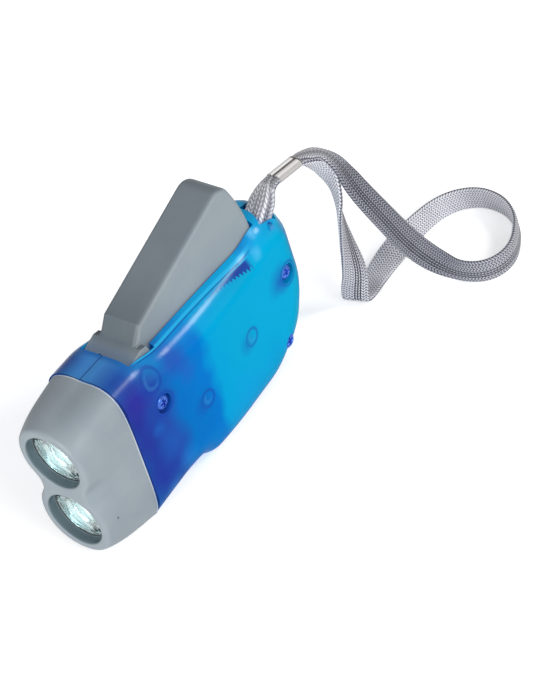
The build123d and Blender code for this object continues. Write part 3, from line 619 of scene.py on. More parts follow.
    def wall(self, graph: Graph, tone: Any, shine: Any, relief: Any) -> bpy.types.Node:
        """A milky and a clear surface mixed, which a shadow ray passes with a blue tint.

        Args:
            graph: the nodes of the material.
            tone: the colour on the wall.
            shine: how strong its lights are.
            relief: its ripples.

        Returns:
            The wall's surface.
        """
        both = {"Base Color": tone, "Roughness": self.roughness, "Specular IOR Level": shine,
                "Normal": relief}
        milky = graph.node("BsdfPrincipled", both | {"IOR": self.milky_ior})
        clear = graph.node("BsdfPrincipled", both | {"IOR": self.clear_ior, "Transmission Weight": 1.0})
        surface = graph.node("MixShader", (self.body, clear, milky))
        through = graph.node("BsdfTransparent", {"Color": linear(self.light_through)})
        shadow = graph.node("LightPath").outputs["Is Shadow Ray"]
        return graph.node("MixShader", (shadow, surface, through))

    def make(self) -> bpy.types.Material:
        """Builds the material. Only the shoulder that faces up is glossy.

        Returns:
            The material.
        """
        graph = Graph(bpy.data.materials.new(self.name))
        spot = graph.node("SeparateXYZ", (graph.place,)).outputs
        facing = graph.node("SeparateXYZ", (graph.node("NewGeometry").outputs["Normal"],)).outputs
        inset = graph.node("Math", (spot["Y"],), operation="ABSOLUTE")
        square = graph.node("Math", (facing["Y"],), operation="ABSOLUTE")
        ripple = graph.node("TexNoise", {"Vector": graph.place, "Scale": 1 / self.ripple, "Detail": 2.0})
        tone = graph.layers(
            self.ground(graph, spot, ripple), *self.height_coats(graph, spot), *self.painted_patch_coats(graph),
            self.brow_coat(graph, spot, inset), self.rack.coat(graph, spot, inset), *self.boss_coats(graph),
            *self.slot.coats(graph, spot, inset), *self.outline_coats(graph, spot, facing, square, inset))
        glossy = graph.overlap(graph.node("MapRange", (square, *self.shoulder_side, 1.0, 0.0)),
                               graph.node("MapRange", (facing["Z"], *self.shoulder_up, 0.0, 1.0)))
        shine = graph.node("MapRange", (glossy, 0.0, 1.0, self.side_shine, self.shine))
        relief = graph.node("Bump", {"Height": ripple, "Distance": self.ripple_depth, "Strength": 0.5})
        return graph.finish(self.wall(graph, tone, shine, relief))


@dataclass(frozen=True)
class Metal:
    """Metal with drawn or ground lines and small differences in its shine.

    The real lines are near 0.02 mm apart. They are drawn as coarse as they need to show.
    """

    name: str
    colour: str
    roughness: float
    line: float = 0.12 * MM
    stretch: Point = (1.0, 0.08, 1.0)
    depth: float = 0.004 * MM
    patch: float = 4 * MM
    patch_cut: Span = (0.55, 0.75)
    uneven: Span = (0.7, 1.3)
    tarnish: str = "#6A5F52"
    tarnish_share: float = 0.12
    metallic: float = 1.0

    def make(self) -> bpy.types.Material:
        """Builds the material: lines drawn out along one axis, under patches of tarnish.

        Returns:
            The material.
        """
        graph = Graph(bpy.data.materials.new(self.name))
        drawn = graph.node("Mapping", {"Vector": graph.place, "Scale": self.stretch})
        lines = graph.node("TexNoise", {"Vector": drawn, "Scale": 1 / self.line, "Detail": 2.0})
        patch = graph.node("TexNoise", {"Vector": graph.place, "Scale": 1 / self.patch, "Detail": 3.0})
        dulled = graph.node("MapRange", (patch, *self.patch_cut, 0.0, self.tarnish_share))
        smooth, rough = (self.roughness * share for share in self.uneven)
        return graph.finish(graph.node("BsdfPrincipled", {
            "Base Color": graph.layers(linear(self.colour), (dulled, self.tarnish)),
            "Metallic": self.metallic, "Roughness": graph.node("MapRange", (lines, *NOISE, smooth, rough)),
            "Normal": graph.node("Bump", {"Height": lines, "Distance": self.depth, "Strength": 0.5})}))


@dataclass(frozen=True)
class Crimped:
    """Bright plated crimp whose middle is pressed in between the two runs of the strap."""

    name: str
    colour: str
    crease: str
    middle: float
    front: Point
    rear: Point
    crease_fall: Span = (0.16 * MM, 0.5 * MM)
    crease_share: float = 0.95
    flank_rise: Span = (1.8 * MM, 2.25 * MM)
    flank_share: float = 0.5
    rim_fall: Span = (0.3 * MM, 0.6 * MM)
    rim_share: float = 0.85
    end_reach: Span = (6 * MM, 8 * MM)
    press: Span = (0.1 * MM, 0.9 * MM)
    press_depth: float = 0.35 * MM
    metallic: float = 0.2
    roughness: Span = (0.16, 0.24)
    patch: float = 1.2 * MM

    def make(self) -> bpy.types.Material:
        """Builds the material: painted shade in the crease, on the flanks and at the rims, with two bright
        rolls between them.

        Returns:
            The material.
        """
        graph = Graph(bpy.data.materials.new(self.name))
        spot = graph.node("SeparateXYZ", (graph.place,)).outputs
        side = graph.node("Math", (spot["Y"], self.middle), operation="SUBTRACT")
        off = graph.node("Math", (side,), operation="ABSOLUTE")
        # Painted shade in the crease, on the outer flanks and at both end rims.
        dark = graph.node("Math", (graph.node("MapRange", (off, *self.crease_fall, self.crease_share, 0.0)),
                                   graph.node("MapRange", (off, *self.flank_rise, 0.0, self.flank_share))),
                          operation="MAXIMUM")
        for end in (self.front, self.rear):
            away = graph.node("VectorMath", (graph.place, end), operation="DISTANCE")
            ahead = graph.node("Math", (spot["X"], end[0]), operation="SUBTRACT")
            along = graph.node("Math", (ahead,), operation="ABSOLUTE")
            rim = graph.overlap(graph.node("MapRange", (along, *self.rim_fall, self.rim_share, 0.0)),
                                graph.node("MapRange", (away, *self.end_reach, 1.0, 0.0)))
            dark = graph.node("Math", (dark, rim), operation="MAXIMUM")
        patch = graph.node("TexNoise", {"Vector": graph.place, "Scale": 1 / self.patch, "Detail": 2.0})
        height = graph.node("MapRange", (off, *self.press, 0.0, 1.0))
        return graph.finish(graph.node("BsdfPrincipled", {
            "Base Color": graph.layers(linear(self.colour), (dark, self.crease)), "Metallic": self.metallic,
            "Roughness": graph.node("MapRange", (patch, *NOISE, *self.roughness)),
            "Normal": graph.node("Bump", {"Height": height, "Distance": self.press_depth, "Strength": 1.0})}))


@dataclass(frozen=True)
class Streaked:
    """Mirror coating on a rippled bowl: its ripples throw real bright and dark streaks, and painted
    reflections add curved dark streaks and a pale heart.

    The streaks follow the bowl's swept angle and depth, which are marks on its mesh.
    """

    name: str
    colour: str
    streak: str
    heart: str
    roughness: float = 0.12
    metallic: float = 0.85
    streak_size: float = 0.07
    streak_cut: Span = (0.49, 0.55)
    streak_poles: Span = (0.5, 0.86)
    streak_left: float = 0.08
    heart_poles: Span = (0.3, 0.75)
    heart_share: float = 0.8
    stretch: float = 0.3

    def make(self) -> bpy.types.Material:
        """Builds the material from the marks on the bowl's mesh.

        Returns:
            The material.
        """
        graph = Graph(bpy.data.materials.new(self.name))
        mark = {name: graph.node("Attribute", attribute_name=name).outputs["Fac"]
                for name in ("swept_x", "swept_y", "share", "poles")}
        # Painted reflections: dark streaks along the swept ripples and a pale heart between the poles.
        around = graph.node("CombineXYZ", (graph.overlap(mark["swept_x"], self.stretch),
                                           graph.overlap(mark["swept_y"], self.stretch), mark["share"]))
        lines = graph.node("TexNoise", {"Vector": around, "Scale": 1 / self.streak_size, "Detail": 2.0})
        beside = graph.node("MapRange", (mark["poles"], *self.streak_poles, self.streak_left, 1.0))
        dark = graph.overlap(graph.node("MapRange", (lines, *self.streak_cut, 0.0, 1.0)), beside)
        middle = graph.node("MapRange", (mark["poles"], *self.heart_poles, self.heart_share, 0.0))
        tone = graph.layers(linear(self.colour), (middle, self.heart), (dark, self.streak))
        return graph.finish(graph.node("BsdfPrincipled", {
            "Base Color": tone, "Metallic": self.metallic, "Roughness": self.roughness}))


@dataclass(frozen=True)
class Braid:
    """Polyester braid: pale slanted yarns in lanes, with painted shade in the gaps, in the channels on one
    face and along one leg, and painted light where it is coarser.

    Its pattern reads the strap's marks: lane counts across, run is millimetres along, side is
    one on the face with the channels, and pitch is how much coarser the short loop is. The real
    filaments are near 0.02 mm thick. They are drawn as coarse as they need to show.
    """

    name: str
    top: str
    gap: str
    stitch: float = 0.95
    slant: float = 0.85
    yarn_power: float = 0.9
    lane_power: float = 4.0
    lane_left: float = 0.25
    yarn_lit: Span = (0.18, 0.62)
    filament: float = 0.1 * MM
    filament_height: float = 0.1
    relief: float = 0.22 * MM
    patch: float = 5 * MM
    patch_cut: Span = (0.4, 0.7)
    patch_share: float = 0.15
    patch_tone: str = "#8C8DA0"
    leg_shade_start: Span = (36.0, 46.0)
    leg_shade_end: Span = (92.0, 128.0)
    leg_shade_left: float = 0.35
    leg_shade_side: Span = (0.1, 0.4)
    leg_shade_lit: float = 0.2
    leg_shade_share: float = 0.66
    leg_shade_tone: str = "#474F62"
    channel_lane: float = -1.0
    channel_edge: Span = (0.22, 0.36)
    channel_reach: Span = (1.2, 1.6)
    channel_side: Span = (0.3, 0.7)
    channel_share: float = 0.85
    channel_shade: str = "#22252F"
    coarse_pitch: Span = (1.1, 1.4)
    coarse_share: float = 0.35
    coarse_light: str = "#F4F4FA"

    def yarn(self, graph: Graph, lane: Any, run: Any, pitch: Any) -> bpy.types.Node:
        """The yarns' height: a wave along each lane, slanted the other way in every second one.

        Args:
            graph: the nodes of the material.
            lane: how many lanes a place is across.
            run: how far it is along, in millimetres.
            pitch: how much coarser the strap is there.

        Returns:
            The height, from nothing to one.
        """
        number = graph.node("Math", (lane,), operation="FLOOR")
        across = graph.node("Math", (lane, number), operation="SUBTRACT")
        inside = graph.node("Math", (across, 0.5), operation="SUBTRACT")
        positive = graph.node("Math", (number, 40.0), operation="ADD")
        odd = graph.node("Math", (positive, 2.0), operation="MODULO")
        lean = graph.node("Math", (1.0, graph.overlap(odd, 2.0)), operation="SUBTRACT")
        stitches = graph.node("Math", (run, graph.overlap(pitch, self.stitch)), operation="DIVIDE")
        phase = graph.node("Math", (stitches, graph.overlap(inside, lean, self.slant)), operation="ADD")
        swing = graph.node("Math", (graph.overlap(phase, math.pi),), operation="COSINE")
        wave = graph.node("Math", (swing,), operation="ABSOLUTE")
        round_wave = graph.node("Math", (wave, self.yarn_power), operation="POWER")
        off = graph.node("Math", (graph.overlap(inside, 2.0),), operation="ABSOLUTE")
        fallen = graph.node("Math", (off, self.lane_power), operation="POWER")
        rim = graph.node("Math", (1.0, fallen), operation="SUBTRACT")
        return graph.overlap(round_wave, graph.node("MapRange", (rim, 0.0, 1.0, self.lane_left, 1.0)))

    def channels(self, graph: Graph, lane: Any, side: Any) -> bpy.types.Node:
        """One in the channels of painted shade, which run on the borders of the lanes next to the middle one.

        Args:
            graph: the nodes of the material.
            lane: how many lanes a place is across.
            side: one on the face with the channels.

        Returns:
            The mark.
        """
        border = graph.node("Math", (lane,), operation="ROUND")
        past = graph.node("Math", (lane, border), operation="SUBTRACT")
        edge = graph.node("Math", (past,), operation="ABSOLUTE")
        beside = graph.node("Math", (lane, self.channel_lane), operation="SUBTRACT")
        offset = graph.node("Math", (beside,), operation="ABSOLUTE")
        return graph.overlap(graph.node("MapRange", (edge, *self.channel_edge, 1.0, 0.0)),
                             graph.node("MapRange", (offset, *self.channel_reach, 1.0, 0.0)),
                             graph.node("MapRange", (side, *self.channel_side, 0.0, self.channel_share)))

    def make(self) -> bpy.types.Material:
        """Builds the material from the marks on the strap's mesh.

        Returns:
            The material.
        """
        graph = Graph(bpy.data.materials.new(self.name))
        lane, run, side, pitch = [graph.node("Attribute", attribute_name=name).outputs["Fac"]
                                  for name in ("lane", "run", "side", "pitch")]
        fibre = graph.node("TexNoise", {"Vector": graph.place, "Scale": 1 / self.filament, "Detail": 2.0})
        hairs = graph.node("MapRange", (fibre, *NOISE, -self.filament_height, self.filament_height))
        height = graph.node("Math", (self.yarn(graph, lane, run, pitch), hairs), operation="ADD")
        # Painted shade along one face of a long stretch of the strap.
        leg_shade = graph.overlap(graph.node("MapRange", (run, *self.leg_shade_start, 0.0, 1.0)),
                                graph.node("MapRange", (run, *self.leg_shade_end, 1.0, self.leg_shade_left)),
                                graph.node("MapRange", (side, *self.leg_shade_side, 0.0, 1.0)))
        lit = graph.node("Math", (height, graph.overlap(leg_shade, self.leg_shade_lit)), operation="SUBTRACT")
        lit = graph.node("MapRange", (lit, *self.yarn_lit, 0.0, 1.0))
        leg_shade_amount = graph.overlap(leg_shade, self.leg_shade_share)
        # Dark gaps between the yarns: painted shade.
        tone = graph.layers(linear(self.gap), (lit, self.top))
        tone = graph.node("Mix", {0: leg_shade_amount, 6: tone, 7: linear(self.leg_shade_tone)},
                          data_type="RGBA", blend_type="MULTIPLY")
        patch = graph.node("TexNoise", {"Vector": graph.place, "Scale": 1 / self.patch, "Detail": 3.0})
        # Channels as painted shade, painted light where the braid is coarser, then random patches.
        tone = graph.layers(
            tone, (self.channels(graph, lane, side), self.channel_shade),
            (graph.node("MapRange", (pitch, *self.coarse_pitch, 0.0, self.coarse_share)), self.coarse_light),
            (graph.node("MapRange", (patch, *self.patch_cut, 0.0, self.patch_share)), self.patch_tone))
        relief = graph.node("Bump", {"Height": height, "Distance": self.relief, "Strength": 0.9})
        return graph.finish(graph.node("BsdfPrincipled", {
            "Base Color": tone, "Roughness": 0.72, "Sheen Weight": 0.35, "Sheen Roughness": 0.4,
            "Specular IOR Level": 0.3, "Normal": relief}))


@dataclass(frozen=True)
class Glow:
    """Clear resin of a light, whose bright core is a painted glow: emission that stands in for its
    brightness.
    """

    name: str
    colour: str
    strength: float
    patch: float = 0.8 * MM
    uneven: Span = (0.7, 1.2)

    def make(self) -> bpy.types.Material:
        """Builds the material.

        Returns:
            The material.
        """
        graph = Graph(bpy.data.materials.new(self.name))
        fine = graph.node("TexNoise", {"Vector": graph.place, "Scale": 1 / self.patch, "Detail": 1.0})
        dim, bright = (self.strength * share for share in self.uneven)
        glow = graph.node("MapRange", (fine, *NOISE, dim, bright))
        return graph.finish(graph.node("BsdfPrincipled", {
            "Base Color": linear(self.colour), "Roughness": 0.12, "IOR": 1.54, "Transmission Weight": 0.35,
            "Emission Color": linear(self.colour), "Emission Strength": glow}))


def mesh_object(name: str, points: np.ndarray, faces: Sequence[Sequence[int]], smooth: bool = True) -> Any:
    """Makes an object at the origin from points in metres.

    Args:
        name: the piece's name.
        points: one row for each vertex.
        faces: vertex numbers of each face.
        smooth: whether its faces are shaded smooth.

    Returns:
        The new object, linked to the scene.
    """
    mesh = bpy.data.meshes.new(name)
    mesh.from_pydata(points.tolist(), [], [list(face) for face in faces])
    mesh.polygons.foreach_set("use_smooth", [smooth] * len(mesh.polygons))
    mesh.update()
    made = bpy.data.objects.new(name, mesh)
    bpy.context.scene.collection.objects.link(made)
    return made


def grid_faces(rows: int, columns: int) -> np.ndarray:
    """Quads of a grid of points, row by row, whose last column joins its first one.

    Args:
        rows: how many rows of points.
        columns: how many points in a row.

    Returns:
        An array of vertex numbers, four for each quad.
    """
    row, column = np.meshgrid(np.arange(rows - 1), np.arange(columns), indexing="ij")
    after = (column + 1) % columns
    corners = [row * columns + column, row * columns + after,
               (row + 1) * columns + after, (row + 1) * columns + column]
    return np.stack(corners, axis=-1).reshape(-1, 4)


def mark_points(made: Any, marks: dict[str, np.ndarray]) -> None:
    """Stores named values on a piece's points, for its material to read.

    Args:
        made: the piece's object.
        marks: a value for each point, by name.
    """
    for name, values in marks.items():
        layer = made.data.attributes.new(name, "FLOAT", "POINT")
        layer.data.foreach_set("value", values.astype(np.float32).ravel())


def paint(node: Any, material: bpy.types.Material) -> None:
    """Puts one material in every slot of an object, and gives it a slot where it has none.

    Args:
        node: the object.
        material: what it is made of.
    """
    if not node.material_slots:
        node.data.materials.append(material)
    for slot in node.material_slots:
        slot.material = material


# The strap's way, in metres and as control points: from behind its pin over the upper leg,
# through the ferrule, round the wrist loop on the floor and back along the lower leg. Each
# point has half the braid's width there as a vector in millimetres.
STRAP_POINTS: tuple[tuple[Point, Point], ...] = (
    ((0.04242, -0.00430, 0.04664), (0, 3.6, 0)),
    ((0.04124, -0.00430, 0.04794), (0, 3.6, 0)),
    ((0.04810, -0.00460, 0.05371), (0, 3.4, 0)),
    ((0.05324, -0.00315, 0.05503), (0, 1.5, 0)),
    ((0.06142, -0.00315, 0.05350), (0, 1, 0)),
    ((0.06661, -0.00315, 0.05253), (0, 1, 0)),
    ((0.07027, -0.00388, 0.05160), (0.3, 2.6, -0.3)),
    ((0.07395, -0.00720, 0.05100), (1.2, 3.7, -0.5)),
    ((0.07471, -0.01223, 0.04850), (3.1, 2.4, 0)),
    ((0.07391, -0.01706, 0.04200), (3.9, 0.6, 0.3)),
    ((0.07415, -0.02011, 0.03700), (3.8, -0.1, 0.7)),
    ((0.07522, -0.02264, 0.03150), (3.8, -0.3, 0.9)),
    ((0.07639, -0.02493, 0.02600), (3.7, -0.6, 1)),
    ((0.07796, -0.02685, 0.02000), (3.6, -1, 1.3)),
    ((0.08045, -0.02858, 0.01350), (3.2, -1.3, 2)),
    ((0.08276, -0.03166, 0.00800), (2.2, -1.2, 3.1)),
    ((0.08443, -0.03686, 0.00460), (0.6, -0.4, 3.9)),
    ((0.08544, -0.04231, 0.00415), (0, 0, 4)),
    ((0.08797, -0.04702, 0.00415), (0, 0, 4)),
    ((0.09272, -0.04969, 0.00415), (0, 0, 4)),
    ((0.09829, -0.04965, 0.00415), (0, 0, 4)),
    ((0.10391, -0.04721, 0.00415), (0, 0, 4)),
    ((0.10950, -0.04334, 0.00415), (0, 0, 4)),
    ((0.11394, -0.03690, 0.00415), (0, 0, 4)),
    ((0.11520, -0.03012, 0.00415), (0, 0, 4)),
    ((0.11427, -0.02514, 0.00415), (0, 0, 4)),
    ((0.11194, -0.02127, 0.00415), (0, 0, 4)),
    ((0.10864, -0.01842, 0.00415), (0, 0.3, 4)),
    ((0.10489, -0.01665, 0.00415), (0, 0.6, 3.95)),
    ((0.10083, -0.01566, 0.00415), (0, 0.9, 3.9)),
    ((0.09509, -0.01487, 0.00410), (0, 1.3, 3.8)),
    ((0.08935, -0.01421, 0.00370), (0, 2.2, 3.35)),
    ((0.08455, -0.01354, 0.00290), (0, 3.3, 2.25)),
    ((0.07952, -0.01317, 0.00180), (0, 3.85, 1)),
    ((0.07373, -0.01362, 0.00105), (-0.2, 4, 0)),
    ((0.06430, -0.01390, 0.00095), (-1, 4.3, 0)),
    ((0.06460, -0.01390, 0.00450), (-2.2, 3.5, 0)),
    ((0.06602, -0.01521, 0.01200), (-3.5, 1.8, 0)),
    ((0.06694, -0.01428, 0.01950), (-3.9, -0.4, 0)),
    ((0.06785, -0.01352, 0.02700), (-3.5, -1.8, 0)),
    ((0.06862, -0.01351, 0.03400), (-3, -2.6, 0)),
    ((0.07022, -0.01344, 0.04100), (-1.7, -3.6, 0.6)),
    ((0.07185, -0.01045, 0.04680), (0.5, -3.1, 2.5)),
    ((0.07025, -0.00690, 0.04980), (0.5, -2.5, 1.4)),
    ((0.06661, -0.00545, 0.05253), (0, -1, 0)),
    ((0.06142, -0.00545, 0.05350), (0, -1, 0)),
    ((0.05324, -0.00545, 0.05503), (0, -1.5, 0)),
    ((0.05051, -0.00450, 0.05103), (0, -3.5, 0)),
    ((0.04385, -0.00430, 0.04505), (0, -3.6, 0)),
    ((0.04268, -0.00430, 0.04635), (0, -3.6, 0)),
)


@dataclass
class Strap:
    """The flat braided strap, one length that goes round its pin and through the ferrule."""

    points: tuple[tuple[Point, Point], ...]
    width: float = 8.0 * MM
    thickness: float = 1.55 * MM
    bore: float = 1.85 * MM
    step: float = 0.35 * MM
    around: int = 80
    lanes: int = 10
    anchor_lanes: int = 6
    anchor_pitch: float = 1.45
    anchor_runs: Span = (15 * MM, 14 * MM)
    ridge: float = 0.07 * MM
    ridge_power: float = 0.3
    side_power: float = 0.5
    face_power: float = 0.75
    turning: float = 1.6 * MM
    search: int = 260
    path_stride: int = 4
    length: float = 0.283

    def line(self) -> np.ndarray:
        """The smooth middle line, read from a spline through the control points.

        Returns:
            A row for each point of the line.
        """
        curve = bpy.data.curves.new("strap_line", "CURVE")
        curve.dimensions = "3D"
        spline = curve.splines.new("NURBS")
        spline.points.add(len(self.points) - 1)
        for target, (place, _) in zip(spline.points, self.points):
            target.co = (*place, 1.0)
        spline.order_u = 3
        spline.use_endpoint_u = True
        spline.resolution_u = 12
        holder = bpy.data.objects.new("strap_line", curve)
        bpy.context.scene.collection.objects.link(holder)
        mesh = bpy.data.meshes.new_from_object(holder)
        coordinates = np.empty(len(mesh.vertices) * 3)
        mesh.vertices.foreach_get("co", coordinates)
        bpy.data.objects.remove(holder)
        bpy.data.curves.remove(curve)
        bpy.data.meshes.remove(mesh)
        return coordinates.reshape(-1, 3)

    def frames(self) -> tuple[np.ndarray, np.ndarray, np.ndarray, np.ndarray]:
        """Even stations on the line with their width and face directions.

        The control points' widths are spread along the line, smoothed, and set square to it. The
        face direction is square to both.

        Returns:
            Places, half widths as vectors, face directions and distances along the line.
        """
        line = self.line()
        gaps = np.linalg.norm(np.diff(line, axis=0), axis=1)
        line = line[np.concatenate([[True], gaps > 1e-7])]
        along = np.concatenate([[0], np.cumsum(np.linalg.norm(np.diff(line, axis=0), axis=1))])
        at = np.linspace(0, along[-1], int(along[-1] / self.step))
        places = np.stack([np.interp(at, along, line[:, i]) for i in range(3)], axis=1)
        tangent = np.gradient(places, axis=0)
        tangent /= np.linalg.norm(tangent, axis=1, keepdims=True)
        controls = np.array([place for place, _ in self.points])
        widths = np.array([width for _, width in self.points], dtype=float) * MM
        nearest = at[self.match(places, controls)]
        spread = np.stack([np.interp(at, nearest, widths[:, i]) for i in range(3)], axis=1)
        half = np.interp(at, nearest, np.linalg.norm(widths, axis=1))
        reach = int(self.turning / self.step)
        width = self.smooth(spread, reach)
        half = self.smooth(half[:, None], reach)[:, 0]
        width -= tangent * np.sum(width * tangent, axis=1, keepdims=True)
        width /= np.linalg.norm(width, axis=1, keepdims=True)
        return places, width * half[:, None], np.cross(tangent, width), at

    def match(self, places: np.ndarray, controls: np.ndarray) -> np.ndarray:
        """The station nearest to each control point, in rising order.

        Args:
            places: the stations.
            controls: the control points.

        Returns:
            Station numbers, one for each control point.
        """
        found = []
        low = 0
        for control in controls:
            window = places[low:low + self.search]
            low = low + int(np.argmin(np.linalg.norm(window - control, axis=1)))
            found.append(min(low, len(places) - 1))
            low = min(low + 1, len(places) - 2)
        found[-1] = len(places) - 1
        return np.array(found)

    @staticmethod
    def smooth(values: np.ndarray, reach: int) -> np.ndarray:
        """A running mean with its ends held.

        Args:
            values: rows of numbers.
            reach: how many rows count on each side.

        Returns:
            The rows smoothed.
        """
        kernel = np.ones(2 * reach + 1) / (2 * reach + 1)
        padded = np.pad(values, ((reach, reach), (0, 0)), mode="edge")
        columns = [np.convolve(column, kernel, mode="valid") for column in padded.T]
        return np.stack(columns, axis=1)

    def build(self) -> Any:
        """The strap as one closed tube, with its lanes in relief and marked for its material.

        Its section is a flattened oval: powers of the cosine across and of the sine through it,
        times half the width and half the thickness. Each lane adds an arched ridge. Where the
        strap is gathered to enter the ferrule, it grows as thick as the bore and loses its ridges.

        Returns:
            The strap's object.
        """
        places, width, face, at = self.frames()
        half = np.linalg.norm(width, axis=1, keepdims=True)
        turn = np.linspace(0, 2 * math.pi, self.around, endpoint=False)[None, :]
        flat = np.sign(np.cos(turn)) * np.abs(np.cos(turn)) ** self.side_power
        rise = np.sign(np.sin(turn)) * np.abs(np.sin(turn)) ** self.face_power
        coarse = (at < self.anchor_runs[0]) | (at > at[-1] - self.anchor_runs[1])
        lane = flat * np.where(coarse, self.anchor_lanes, self.lanes)[:, None] / 2
        crown = 1 - np.abs(2 * (lane - np.floor(lane)) - 1) ** 2
        gathered = np.clip((self.width / 2 - half) / (self.width / 4), 0, 1)
        thick = self.thickness / 2 + gathered * (self.bore - self.thickness) / 2
        lift = crown * self.ridge * (1 - gathered)
        across = flat * (1 + lift / (self.width / 2))
        through = thick * rise + lift * np.sign(rise) * np.abs(rise) ** self.ridge_power
        points = (places[:, None, :] + width[:, None, :] * across[..., None]
                  + face[:, None, :] * through[..., None])
        rows = len(places)
        faces = grid_faces(rows, self.around).tolist()
        faces.append(list(range(self.around))[::-1])
        faces.append([(rows - 1) * self.around + i for i in range(self.around)])
        made = mesh_object("braided_strap", points.reshape(-1, 3), faces)
        mark_points(made, {"lane": lane, "run": at[:, None] / MM + 0 * turn, "side": rise + 0 * at[:, None],
                           "pitch": np.where(coarse, self.anchor_pitch, 1.0)[:, None] + 0 * turn})
        LOG.info("strap is %.4f m along its middle", at[-1])
        self.declare(made)
        return made

    def declare(self, made: Any) -> None:
        """Says what the strap rides on and replaces.

        Args:
            made: the strap's object.
        """
        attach(made, HOUSING)
        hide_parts("strap_anchor", "wrist_strap")


@dataclass
class FlutedReflector:
    """A bright bowl with swirled ripples behind one lens.

    Each bend is a wave round the bowl: its height, how many times it goes round, and its start.
    """

    node: str
    height: float
    front_x: float = -48.7 * MM
    depth: float = 8.9 * MM
    rim: float = 9.3 * MM
    throat: float = 2.75 * MM
    wall: float = 0.5 * MM
    rings: int = 48
    sides: int = 288
    flutes: int = 9
    flute_depth: float = 0.14 * MM
    swirl: float = 0.9
    bends: tuple[Point, ...] = ((1.6, 2, 0.7), (0.8, 5, 2.1))
    swept_share: float = 0.6
    swept_flutes: int = 7
    swept_twist: float = 4
    bend_share: float = 0.06
    pole_angle: float = math.pi / 4

    def build(self) -> Any:
        """The bowl as two nested surfaces joined at both ends, marked for its material.

        The radius falls from rim to throat as one less the square of the share of the depth. On
        the inner surface a sum of two sine waves is taken off it: one in rings that bend as they
        go round, and one in flutes that swirl with the depth. Both fade to nothing at the throat.

        Returns:
            The bowl's object.
        """
        share = np.concatenate([np.linspace(0, 1, self.rings), np.linspace(1, 0, self.rings)])[:, None]
        inner = (np.arange(2 * self.rings) < self.rings)[:, None]
        turn = 2 * math.pi * np.arange(self.sides)[None, :] / self.sides
        radius = self.throat + (self.rim - self.wall - self.throat) * (1 - share ** 2)
        swept = turn + self.swirl * share
        bend = sum(height * np.sin(count * turn + start) for height, count, start in self.bends)
        twist = self.swept_flutes * swept + self.swept_twist * share
        ripple = np.sin(self.flutes * math.pi * share + bend) + self.swept_share * np.sin(twist)
        radius = radius + np.where(inner, -self.flute_depth * ripple * (1 - share ** 4), self.wall)
        x = self.front_x + share * self.depth + 0 * turn
        points = np.stack([x, radius * np.sin(turn), self.height + radius * np.cos(turn)], axis=-1)
        faces = grid_faces(2 * self.rings, self.sides).tolist()
        last = (2 * self.rings - 1) * self.sides
        faces += [(last + i, last + (i + 1) % self.sides, (i + 1) % self.sides, i) for i in range(self.sides)]
        made = mesh_object(f"fluted_{self.node}", points.reshape(-1, 3), faces)
        mark_points(made, {"swept_x": np.cos(swept), "swept_y": np.sin(swept),
                           "share": share + self.bend_share * bend,
                           "poles": np.abs(np.cos(turn - self.pole_angle)) + 0 * share})
        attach(made, HOUSING)
        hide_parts(self.node)
        return made


@dataclass
class CrossScrews:
    """Pan-head screws with a cross recess, seated in the left half."""

    places: tuple[Point, ...]
    head: float = 2.4 * MM
    height: float = 1.5 * MM
    dome_share: float = 0.45
    arm_half: float = 0.42 * MM
    arm_slope: float = 0.14 * MM
    arm_reach: float = 1.5 * MM
    arm_end: float = 0.3 * MM
    recess: float = 0.85 * MM
    shank: float = 1.05 * MM
    shank_length: float = 15.5 * MM
    rings: int = 30
    sides: int = 72
    eye_share: float = 0.02

    def surface(self, place: Point) -> np.ndarray:
        """One screw as rings of points, from the middle of its head to the tip of its shank.

        The head's height falls with the fourth power of the radius. The recess takes its depth
        off where a point is near either arm of the cross and not past the arm's end.

        Args:
            place: where its head sits, in metres.

        Returns:
            Rows of points.
        """
        x, seat_y, z = place
        reach = np.linspace(self.eye_share, 1, self.rings)[:, None] * self.head
        turn = np.linspace(0, 2 * math.pi, self.sides, endpoint=False)[None, :]
        across, up = reach * np.cos(turn), reach * np.sin(turn)
        crown = self.height * (1 - self.dome_share * (reach / self.head) ** 4) + 0 * turn
        arm = np.minimum(np.abs(across), np.abs(up))
        beside = np.clip((self.arm_half - arm) / self.arm_slope, 0, 1)
        crown = crown - beside * np.clip((self.arm_reach - reach) / self.arm_end, 0, 1) * self.recess
        front = np.stack([x + across, seat_y - crown, z + up], axis=-1)
        tip = self.shank_length
        skirt = ((self.head, 0.0), (self.shank, 0.0), (self.shank, tip), (0.0, tip))
        rest = [np.stack([x + radius * np.cos(turn[0]), np.full(self.sides, seat_y + depth),
                          z + radius * np.sin(turn[0])], axis=-1) for radius, depth in skirt]
        return np.concatenate([front, np.array(rest)], axis=0)

    def build(self) -> Any:
        """All the screws in one mesh.

        Returns:
            The screws' object.
        """
        points: list[np.ndarray] = []
        faces: list[list[int]] = []
        for place in self.places:
            table = self.surface(place)
            base = sum(len(part) for part in points)
            faces += (grid_faces(len(table), self.sides) + base).tolist()
            faces.append([base + i for i in range(self.sides)][::-1])
            points.append(table.reshape(-1, 3))
        made = mesh_object("cross_screws", np.concatenate(points), faces)
        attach(made, HOUSING)
        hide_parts("case_screws")
        return made


LENS_HEIGHTS = {"reflector_upper": 38.18 * MM, "reflector_lower": 15.12 * MM}

SCREW_SEATS = (
    (-0.01920, -0.01287, 0.03620),
    (0.04350, -0.00952, 0.03030),
    (0.03653, -0.00949, 0.00853),
)

# The shell's tones by the distance behind the torch's middle, front first.
SHELL_TONES = (
    (-36 * MM, "#1D54A6"), (-29 * MM, "#253F9C"), (-20 * MM, "#2550A8"), (-13 * MM, "#0474C0"),
    (-1.5 * MM, "#0279C8"), (2.5 * MM, "#00A4D3"), (12 * MM, "#00A9D2"), (53 * MM, "#00B0D8"))

